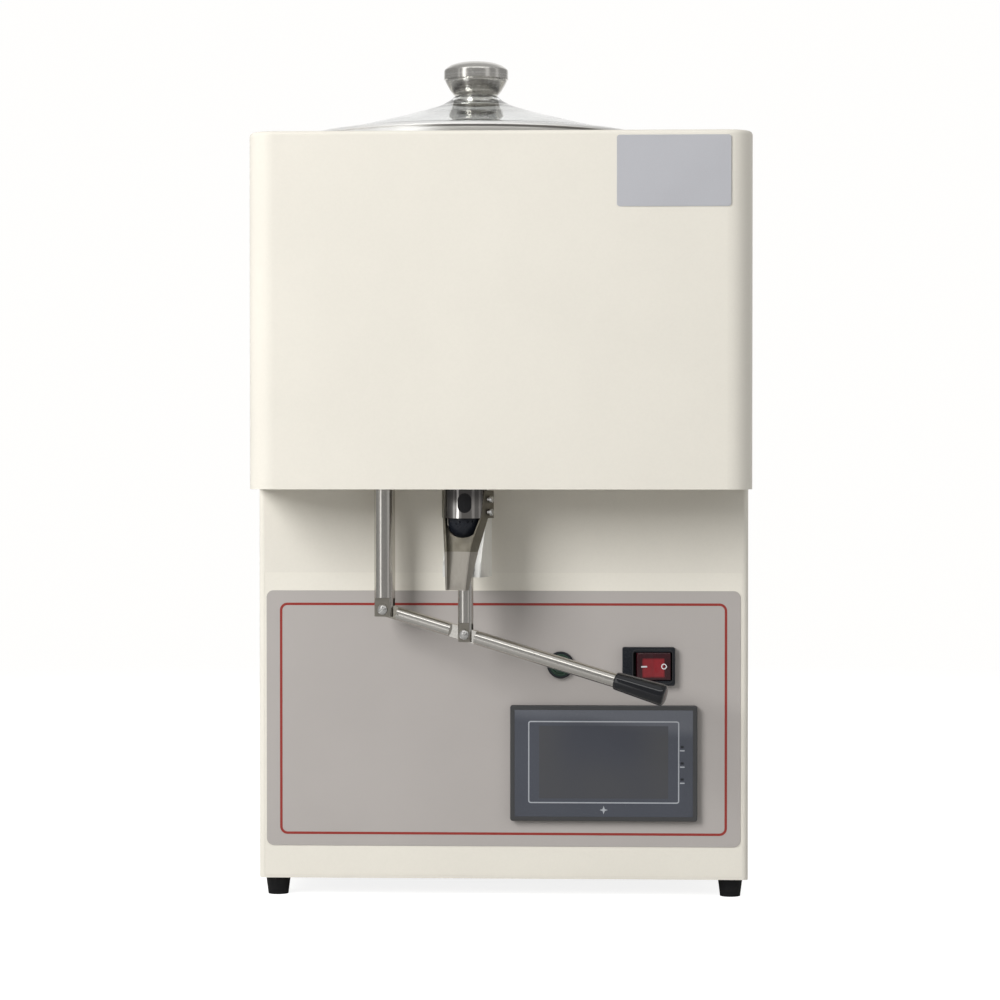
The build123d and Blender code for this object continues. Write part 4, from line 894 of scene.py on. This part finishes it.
def makeRocker(place):
    half, back, tilt = place["halfLength"], place["backDepth"], radians(place["tilt"])
    rise = half * tan(tilt)
    depth = place["faceDepth"] + rise + back
    middle = (back - place["faceDepth"] - rise) / 2
    bm = bmesh.new()
    size = Matrix.Diagonal((2 * half * mm, depth * mm, place["height"] * mm, 1.0))
    bmesh.ops.create_cube(bm, size=1.0, matrix=Matrix.Translation((0, middle * mm, 0)) @ size)
    bmesh.ops.bisect_plane(bm, geom=bm.verts[:] + bm.edges[:] + bm.faces[:], plane_co=(0, 0, 0),
                           plane_no=(1, 0, 0))
    waist = [vert for vert in bm.verts if abs(vert.co.x) < 0.1 * mm and vert.co.y < 0]
    bmesh.ops.translate(bm, verts=waist, vec=(0, rise * mm, 0))
    heels = [vert for vert in bm.verts if abs(vert.co.x) > 1 * mm and vert.co.y > 0]
    bmesh.ops.translate(bm, verts=heels, vec=(0, -back * mm, 0))
    bmesh.ops.bevel(bm, geom=bm.edges[:], offset=place["edgeRadius"] * mm, offset_type="OFFSET", affect="EDGES",
                    segments=3, profile=0.5, material=-1)
    pin = bmesh.new()
    bmesh.ops.create_cone(pin, cap_ends=True, segments=32, radius1=place["pinRadius"] * mm,
                          radius2=place["pinRadius"] * mm, depth=2 * place["pinReach"] * mm)
    joinInto(bm, pin)
    stand = Matrix.Translation(findJoint("rocker_tilt")["pos_m"]) @ Matrix.Rotation(tilt, 4, "Z")
    moveAll(bm, stand)
    makePiece(bm, "rocker_cap", "redRocker", "rocker", ("switch_rocker",), 50.0)

    # a dash on the left cheek and a ring on the right
    thickness = place["markThickness"]
    inner, outer = place["ringRadii"]
    ring = [(inner, 0), (outer, 0), (outer, -thickness), (inner, -thickness)]
    marks = bmesh.new()
    for side, mark in ((-1, roundedPlate(*place["dash"], thickness)), (1, turned(ring, 40, closed=True))):
        out = place["faceDepth"] + thickness
        seat = Matrix.Translation((side * place["markShift"] * mm, -out * mm, 0))
        moveAll(mark, Matrix.Rotation(-side * tilt, 4, "Z") @ seat @ standUp)
        joinInto(marks, mark)
    moveAll(marks, stand)
    makePiece(marks, "rocker_marks", "whiteInk", "rocker")


makeRocker(rockerPlace)

# raised lip round the rocker
lipPlace = {"plate": (29.6, 24.6, 3.4), "stripe": 0.7, "proud": 0.45, "shift": 2.9}


def makeSwitchLip(place):
    bm = roundedPlate(*place["plate"], place["proud"], place["stripe"])
    standBefore(bm, "switch_bezel", place["shift"], place["proud"])
    makePiece(bm, "switch_lip", "mouldedBlack", "housing")


makeSwitchLip(lipPlace)
print("rocker switch done")

# pilot lamp lens with pressed rings
lensPlace = {"ringCount": 5, "ringDepth": 0.35, "crown": 1.6, "edge": 8.0, "seat": 3.15,
             "foot": [(8.1, 3.02), (7.15, 3.02), (7.15, 0.0), (0.0, 0.0)]}


def makeLens(place):
    low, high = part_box("lamp_lens")
    points = [(0.0, place["seat"] + place["crown"])]
    for index in range(1, 2 * place["ringCount"] + 1):
        radius = index * place["edge"] / (2 * place["ringCount"])
        dome = place["crown"] * (1 - (radius / place["edge"]) ** 2)
        points.append((radius, place["seat"] + dome - (place["ringDepth"] if index % 2 else 0.0)))
    bm = turned(points + place["foot"], 64)
    standBefore(bm, "lamp_lens", out=(low.y - high.y) / mm)
    makePiece(bm, "lens_cap", "greenLens", "housing", ("lamp_lens",))


makeLens(lensPlace)
print("pilot lamp done")

# heights are above the bench; knob and hub points are (radius, height, corner)
lidPlace = {
    "boltRadius": 12.5,
    "knobFoot": 591.4,
    "knobOutline": [
        (15.9, 591.4, 0.4), (18.3, 593.6, 2.0), (21.4, 598.4, 3.0), (23.3, 602.2, 0.6), (23.3, 603.0, 0.3),
        (24.3, 603.5, 0.3), (24.3, 610.8, 0.9), (20.4, 614.0, 1.6), (13.6, 616.4, 3.0), (0.0, 617.0, 0),
    ],
    "washerRadius": 20.6,
    "washerGap": 0.05,
    "hubOutline": [
        (23.8, 582.2, 0.8), (23.2, 580.4, 1.4), (18.4, 576.6, 3.0), (12.0, 574.2, 2.5), (0.0, 573.4, 0),
    ],
    "bossBottom": 584.6,
    "bore": [(12.9, 590.5), (13.4, 591.1), (17.0, 591.1)],
    "glassOutline": [
        (18.4, 588.6), (26.2, 583.9), (43.2, 578.7), (70.0, 571.8), (90.0, 566.8), (104.3, 563.6),
        (118.3, 561.0), (125.2, 559.0),
    ],
    "glassEdge": [(127.2, 556.3), (126.7, 555.9), (124.0, 555.9)],
    "glassThickness": 3.2,
    "bossInside": 23.7,
    "rimOutline": [
        (111.3, 541.6), (112.1, 541.3), (113.3, 541.6), (113.3, 554.6), (128.75, 554.6), (128.75, 552.8),
        (129.1, 552.6), (129.45, 552.8), (129.45, 555.7), (129.3, 555.9), (128.1, 556.1), (128.1, 557.2),
        (129.3, 557.4), (129.35, 557.7), (128.7, 558.7), (127.6, 559.5), (126.4, 560.0), (125.9, 559.9),
        (126.2, 559.4), (127.45, 558.2), (127.45, 555.7), (112.4, 555.6), (111.6, 555.2), (111.3, 554.4),
    ],
}


def makeLidPiece(bm, name, finish, node, sharpAngle):
    moveAll(bm, Matrix.Translation((*middleOf("lid_rim").xy, 0)))
    return makePiece(bm, name, finish, "lid", (node,), sharpAngle)


def makeKnob(place):
    bolt = place["boltRadius"]
    profile = [(0.0, place["bossBottom"], 0), (bolt, place["bossBottom"], 0), (bolt, place["knobFoot"], 0)]
    bm = turned(roundCorners(profile + place["knobOutline"]), 128)
    makeLidPiece(bm, "knob_turned", "spunSteel", "lid_knob", 40.0)


def makeHub(place):
    # washer and cup under the glass
    top = place["bossBottom"] - place["washerGap"]
    profile = [(0.0, top, 0), (place["washerRadius"], top, 0.4)]
    bm = turned(roundCorners(profile + place["hubOutline"]))
    makeLidPiece(bm, "hub_cup", "spunSteel", "lid_hub", 40.0)


def makeGlass(place):
    thickness, bottom = place["glassThickness"], place["bossBottom"]
    inside = [(radius - thickness / 3, height - thickness)
              for radius, height in reversed(place["glassOutline"][2:-1])]
    boss = [(place["bossInside"], bottom - thickness / 3), (place["washerRadius"], bottom),
            (place["bore"][0][0], bottom)]
    bm = turned(place["bore"] + place["glassOutline"] + place["glassEdge"] + inside + boss, 64, closed=True)
    glass = makeLidPiece(bm, "glass_dome", "clearGlass", "lid_glass", 180.0)
    smooth = glass.modifiers.new("smooth", "SUBSURF")
    smooth.levels = 2
    smooth.render_levels = 2


def makeRim(place):
    # rolled steel band with a skirt that hangs in the pot
    bm = turned(place["rimOutline"], 192, closed=True)
    makeLidPiece(bm, "rim_band", "rolledRim", "lid_rim", 50.0)


makeKnob(lidPlace)
makeHub(lidPlace)
makeGlass(lidPlace)
makeRim(lidPlace)
print("lid done")

# slotted screws of the linkage
pinPlace = {
    "headRadius": 3.75,
    "headHeight": 2.2,
    "headEdge": 1.3,
    "crown": [(0.0, 0.0, 0), (1.6, -0.12, 0), (2.9, -0.6, 0.3)],
    "shankRadius": 2.0,
    "tipRadius": 1.6,
    "tipLength": 0.5,
    "slotWidth": 1.0,
    "slotDepth": 1.1,
    "slotTurn": -45.0,
}


def keepBehind(bm, place, outward):
    # cuts away what lies past a plane and closes the cut
    part = bm.copy()
    bmesh.ops.bisect_plane(part, geom=part.verts[:] + part.edges[:] + part.faces[:], plane_co=place,
                           plane_no=outward, clear_outer=True)
    bmesh.ops.holes_fill(part, edges=[edge for edge in part.edges if edge.is_boundary], sides=0)
    return part


def makeSlottedScrew(node, body, place):
    low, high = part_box(node)
    head, shank = place["headRadius"], place["shankRadius"]
    reach = (high.y - low.y) - (head + shank) * mm * sin(linkTurn)
    tip = -reach / cos(linkTurn) / mm
    front = Vector((low.x + head * mm * cos(linkTurn), low.y + head * mm * sin(linkTurn), (low.z + high.z) / 2))
    profile = place["crown"] + [
        (head, -place["headEdge"], 0.4), (head, -place["headHeight"], 0.15), (shank, -place["headHeight"], 0),
        (shank, tip + place["tipLength"], 0), (place["tipRadius"], tip, 0), (0.0, tip, 0),
    ]
    whole = turned(roundCorners(profile), 64)
    bmesh.ops.remove_doubles(whole, verts=whole.verts, dist=0.0002 * mm)
    bmesh.ops.recalc_face_normals(whole, faces=whole.faces)
    half = place["slotWidth"] / 2 * mm
    bm = bmesh.new()
    joinInto(bm, keepBehind(whole, (-half, 0, 0), (1, 0, 0)))
    joinInto(bm, keepBehind(whole, (half, 0, 0), (-1, 0, 0)))
    core = keepBehind(whole, (0, 0, -place["slotDepth"] * mm), (0, 0, 1))
    joinInto(bm, keepBehind(keepBehind(core, (half, 0, 0), (1, 0, 0)), (-half, 0, 0), (-1, 0, 0)))
    whole.free()
    core.free()
    lean = Matrix.Rotation(radians(place["slotTurn"]), 4, "Z")
    moveAll(bm, Matrix.Translation(front) @ linkFront.to_track_quat("Z", "Y").to_matrix().to_4x4() @ lean)
    makePiece(bm, node + "_slotted", "zincPlate", body, (node,))


makeSlottedScrew("pivot_screw", "housing", pinPlace)
makeSlottedScrew("valve_pin", "valve", pinPlace)
print("linkage screws done")

# lever grip, turned with a rounded nose
gripPlace = {
    "start": 178.4,
    "pivot": (-84.0, -126.48, 209.2),
    "outline": [(0.0, 0.0, 0), (5.7, 0.0, 0.2), (6.3, 0.7, 0.4), (6.55, 6.0, 2.0), (7.75, 35.0, 1.2),
                (7.25, 36.6, 0.8), (5.55, 37.4, 1.0), (0.0, 37.6, 0)],
}


def makeGrip(place):
    bm = turned(roundCorners(place["outline"]))
    seat = Matrix.Translation(Vector(place["pivot"]) * mm) @ leverLine.to_4x4()
    moveAll(bm, seat @ Matrix.Translation((place["start"] * mm, 0, 0)) @ Matrix.Rotation(radians(90), 4, "Y"))
    makePiece(bm, "grip_turned", "glossBlackGrip", "lever", ("lever_grip",), 50.0)


makeGrip(gripPlace)
print("grip done")

# valve block, milled square behind the chute
blockPlace = {"leftTrim": 3.0}


def makeValveBlock(place):
    left = Vector((-cos(linkTurn), sin(linkTurn), 0))
    whole = bmesh.new()
    whole.from_mesh(nodes["valve_housing"].data)
    bmesh.ops.remove_doubles(whole, verts=whole.verts, dist=0.002 * mm)
    reach = max(vert.co.dot(left) for vert in whole.verts)
    bm = keepBehind(whole, left * (reach - place["leftTrim"] * mm), left)
    whole.free()
    makePiece(bm, "valve_block", "valveAlloy", "housing", ("valve_housing",), 30.0)


makeValveBlock(blockPlace)
print("valve block done")

# valve spring: a wound wire
springPlace = {"turns": 7, "wireRadius": 0.9, "coilRadius": 9.0, "stepsPerTurn": 36, "wireSides": 12}


def makeSpring(place):
    low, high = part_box("valve_spring")
    wire, sides = place["wireRadius"] * mm, place["wireSides"]
    steps = place["turns"] * place["stepsPerTurn"]
    climb = (high.z - low.z - 2 * wire) / steps
    bm = bmesh.new()
    section = Matrix.Translation((place["coilRadius"] * mm, 0, 0)) @ standUp
    bmesh.ops.create_circle(bm, cap_ends=False, segments=sides, radius=wire, matrix=section)
    bmesh.ops.spin(bm, geom=bm.verts[:] + bm.edges[:], cent=(0, 0, 0), axis=(0, 0, 1), dvec=(0, 0, climb),
                   angle=2 * pi * place["turns"], steps=steps, use_merge=False, use_duplicate=False)
    bmesh.ops.holes_fill(bm, edges=[edge for edge in bm.edges if edge.is_boundary], sides=sides)
    axis = middleOf("valve_spring").xy
    moveAll(bm, Matrix.Translation((*axis, low.z + wire)))
    spring = makePiece(bm, "spring_coil", "zincPlate", "housing", ("valve_spring",), 60.0)
    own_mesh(spring)


makeSpring(springPlace)
print("spring done")

stageLook = {
    "radius": 6.0,
    "fade": (0.8, 2.4),
    "paper": (0.46, 0.46, 0.455),
    "mottle": 0.985,
    "seenGlow": 0.86,
}


def makeStagePaper(look):
    tree, shader = newMaterial("stagePaper", {
        "Roughness": 0.85, "Specular IOR Level": 0.1, "Emission Color": (1.0, 1.0, 1.0)})
    place = objectPlace(tree)
    mottled = tuple(look["mottle"] * part for part in look["paper"])
    seen = addNode(tree, "LightPath")["Is Camera Ray"]
    plug(tree, shader, {"Base Color": mixColours(tree, noiseNode(tree, place, 2.0), look["paper"], mottled),
                        "Emission Strength": multiply(tree, seen, look["seenGlow"])})
    away = addNode(tree, "VectorMath", {0: place}, operation="LENGTH")["Value"]
    clear = addNode(tree, "BsdfTransparent")[0]
    blend = addNode(tree, "MixShader", {0: rangeNode(tree, away, look["fade"]), 1: shader.outputs[0], 2: clear})
    plug(tree, tree.nodes["Material Output"], {"Surface": blend[0]})


def makeStage(look):
    makeStagePaper(look)
    bm = bmesh.new()
    bmesh.ops.create_circle(bm, cap_ends=True, segments=96, radius=look["radius"])
    floor = newObject(bm, "floor_paper", "stagePaper")


makeStage(stageLook)

# turn is measured from straight in front of the object, to the left
lightAim = Vector((0.0, -0.1, 0.35))
lightLook = {
    "keyLight": {"turn": 42.0, "rise": 24.0, "distance": 2.6, "size": (1.2, 1.5), "power": 63.0},
    "rimLight": {"turn": -62.0, "rise": 14.0, "distance": 2.4, "size": (0.35, 1.6), "power": 2.0},
}


def addSoftbox(name, turn, rise, distance, size, power):
    turn, rise = radians(turn), radians(rise)
    away = Vector((-sin(turn) * cos(rise), -cos(turn) * cos(rise), sin(rise)))
    light = bpy.data.lights.new(name, "AREA")
    light.shape = "RECTANGLE"
    light.size, light.size_y = size
    light.energy = power
    lamp = bpy.data.objects.new(name, light)
    lamp.location = lightAim + away * distance
    lamp.rotation_euler = away.to_track_quat("Z", "Y").to_euler()
    lamp.visible_glossy = False  # metals mirror the cards in the world instead
    bpy.context.scene.collection.objects.link(lamp)


for name, look in lightLook.items():
    addSoftbox(name, **look)

# azimuth runs to the left from straight in front, height up from level, both in degrees
worldLook = {
    "seen": 1.0,
    "behindGlass": 0.93,
    "tint": (1.0, 0.995, 0.985),
    "overhead": (25.0, 65.0),
    "fillFront": 0.22,
    "fillLeft": 0.34,
    "fillRight": 0.78,
    "fillBack": 0.70,
    "fillTop": 0.50,
    "fillSweep": (-0.8, 0.8),
    "fillAside": (20.0, 75.0),
    "fillRear": (95.0, 140.0),
    "mirrorDark": 0.29,
    "mirrorBack": 0.95,
    "mirrorTop": 0.42,
    "mirrorFloor": 0.46,
    "mirrorGround": 0.26,
    "mirrorRear": (140.0, 168.0),
    "floorStart": (-3.0, -16.0),
    "floorFade": (-35.0, -75.0),
    # bright cards, left, right and overhead: middle azimuth, half width, low and high edge, level
    "cards": (
        (41.0, 7.0, -24.0, 40.0, 1.75),
        (62.0, 5.0, -24.0, 40.0, 0.55),
        (-44.0, 9.0, -24.0, 40.0, 0.62),
        (-84.0, 8.0, -24.0, 50.0, 0.55),
        (14.0, 46.0, 56.0, 88.0, 0.80),
    ),
    "cardSides": (0.55, 1.35),
    "cardFoot": (-7.0, 5.0),
    "cardHead": 8.0,
    # a thin bright line high up: low and high edge, level
    "topLine": (40.0, 50.0, 3.0),
    "topLineEdge": 1.0,
    "topLineSides": (50.0, 70.0),
}


def cardLevel(tree, azimuth, height, look, card):
    middle, halfWidth, low, high, level = card
    sides = [halfWidth * share for share in look["cardSides"]]
    across = rangeNode(tree, offMiddle(tree, azimuth, middle), sides, 1.0, 0.0)
    rise = rangeNode(tree, height, [low + shift for shift in look["cardFoot"]])
    drop = rangeNode(tree, height, around(high, look["cardHead"]), 1.0, 0.0)
    return multiply(tree, multiply(tree, across, multiply(tree, rise, drop)), level)


def makeWorld(look):
    world = bpy.data.worlds.new("studio")
    bpy.context.scene.world = world
    world.use_nodes = True
    tree = world.node_tree
    parts = splitPlace(tree, addNode(tree, "TexCoord")["Generated"])
    toFront = multiply(tree, parts["Y"], -1.0)
    toLeft = multiply(tree, parts["X"], -1.0)
    azimuth = multiply(tree, mathNode(tree, "ARCTAN2", toLeft, toFront), 180 / pi)
    height = multiply(tree, mathNode(tree, "ARCSINE", parts["Z"]), 180 / pi)
    aside = mathNode(tree, "ABSOLUTE", azimuth)
    overhead = rangeNode(tree, height, look["overhead"])

    # soft fill on painted and printed faces
    side = rangeNode(tree, toLeft, look["fillSweep"], look["fillRight"], look["fillLeft"])
    fill = rangeNode(tree, aside, look["fillAside"], look["fillFront"], side)
    fill = rangeNode(tree, aside, look["fillRear"], fill, look["fillBack"])
    fill = rangeNode(tree, overhead, (0.0, 1.0), fill, look["fillTop"])

    # what metal and gloss mirror: a dark room, a white far wall behind, bright cards at the sides
    mirror = rangeNode(tree, aside, look["mirrorRear"], look["mirrorDark"], look["mirrorBack"])
    mirror = rangeNode(tree, overhead, (0.0, 1.0), mirror, look["mirrorTop"])
    ground = rangeNode(tree, height, look["floorFade"], look["mirrorFloor"], look["mirrorGround"])
    bright = [rangeNode(tree, height, look["floorStart"], 0.0, ground)]
    bright += [cardLevel(tree, azimuth, height, look, card) for card in look["cards"]]
    low, high, level = look["topLine"]
    line = multiply(tree, rangeNode(tree, height, around(low, look["topLineEdge"])),
                    rangeNode(tree, height, around(high, look["topLineEdge"]), level, 0.0))
    bright.append(multiply(tree, line, rangeNode(tree, aside, look["topLineSides"], 1.0, 0.0)))
    for part in bright:
        mirror = mathNode(tree, "MAXIMUM", mirror, part)

    ray = addNode(tree, "LightPath")
    behind = mathNode(tree, "MAXIMUM", mirror, look["behindGlass"])
    level = rangeNode(tree, ray["Is Diffuse Ray"], (0.0, 1.0), mirror, fill)
    level = rangeNode(tree, ray["Is Transmission Ray"], (0.0, 1.0), level, behind)
    level = rangeNode(tree, ray["Is Camera Ray"], (0.0, 1.0), level, look["seen"])
    plug(tree, tree.nodes["Background"], {"Color": look["tint"], "Strength": level})


makeWorld(worldLook)

cameraPlace = {"location": (0.0913, -2.3665, 0.3276), "tilt": 88.98, "turn": 2.365, "lens": 112.8,
               "sensor": 36.0, "clip": (0.05, 60.0)}


def makeCamera(place):
    camera = bpy.data.cameras.new("camera")
    camera.lens = place["lens"]
    camera.sensor_width = place["sensor"]
    camera.clip_start, camera.clip_end = place["clip"]
    holder = bpy.data.objects.new("camera", camera)
    holder.location = place["location"]
    holder.rotation_euler = (radians(place["tilt"]), 0.0, radians(place["turn"]))
    bpy.context.scene.collection.objects.link(holder)
    bpy.context.scene.camera = holder


makeCamera(cameraPlace)
bpy.context.scene.view_settings.view_transform = "Standard"
print("stage, lights and camera done")
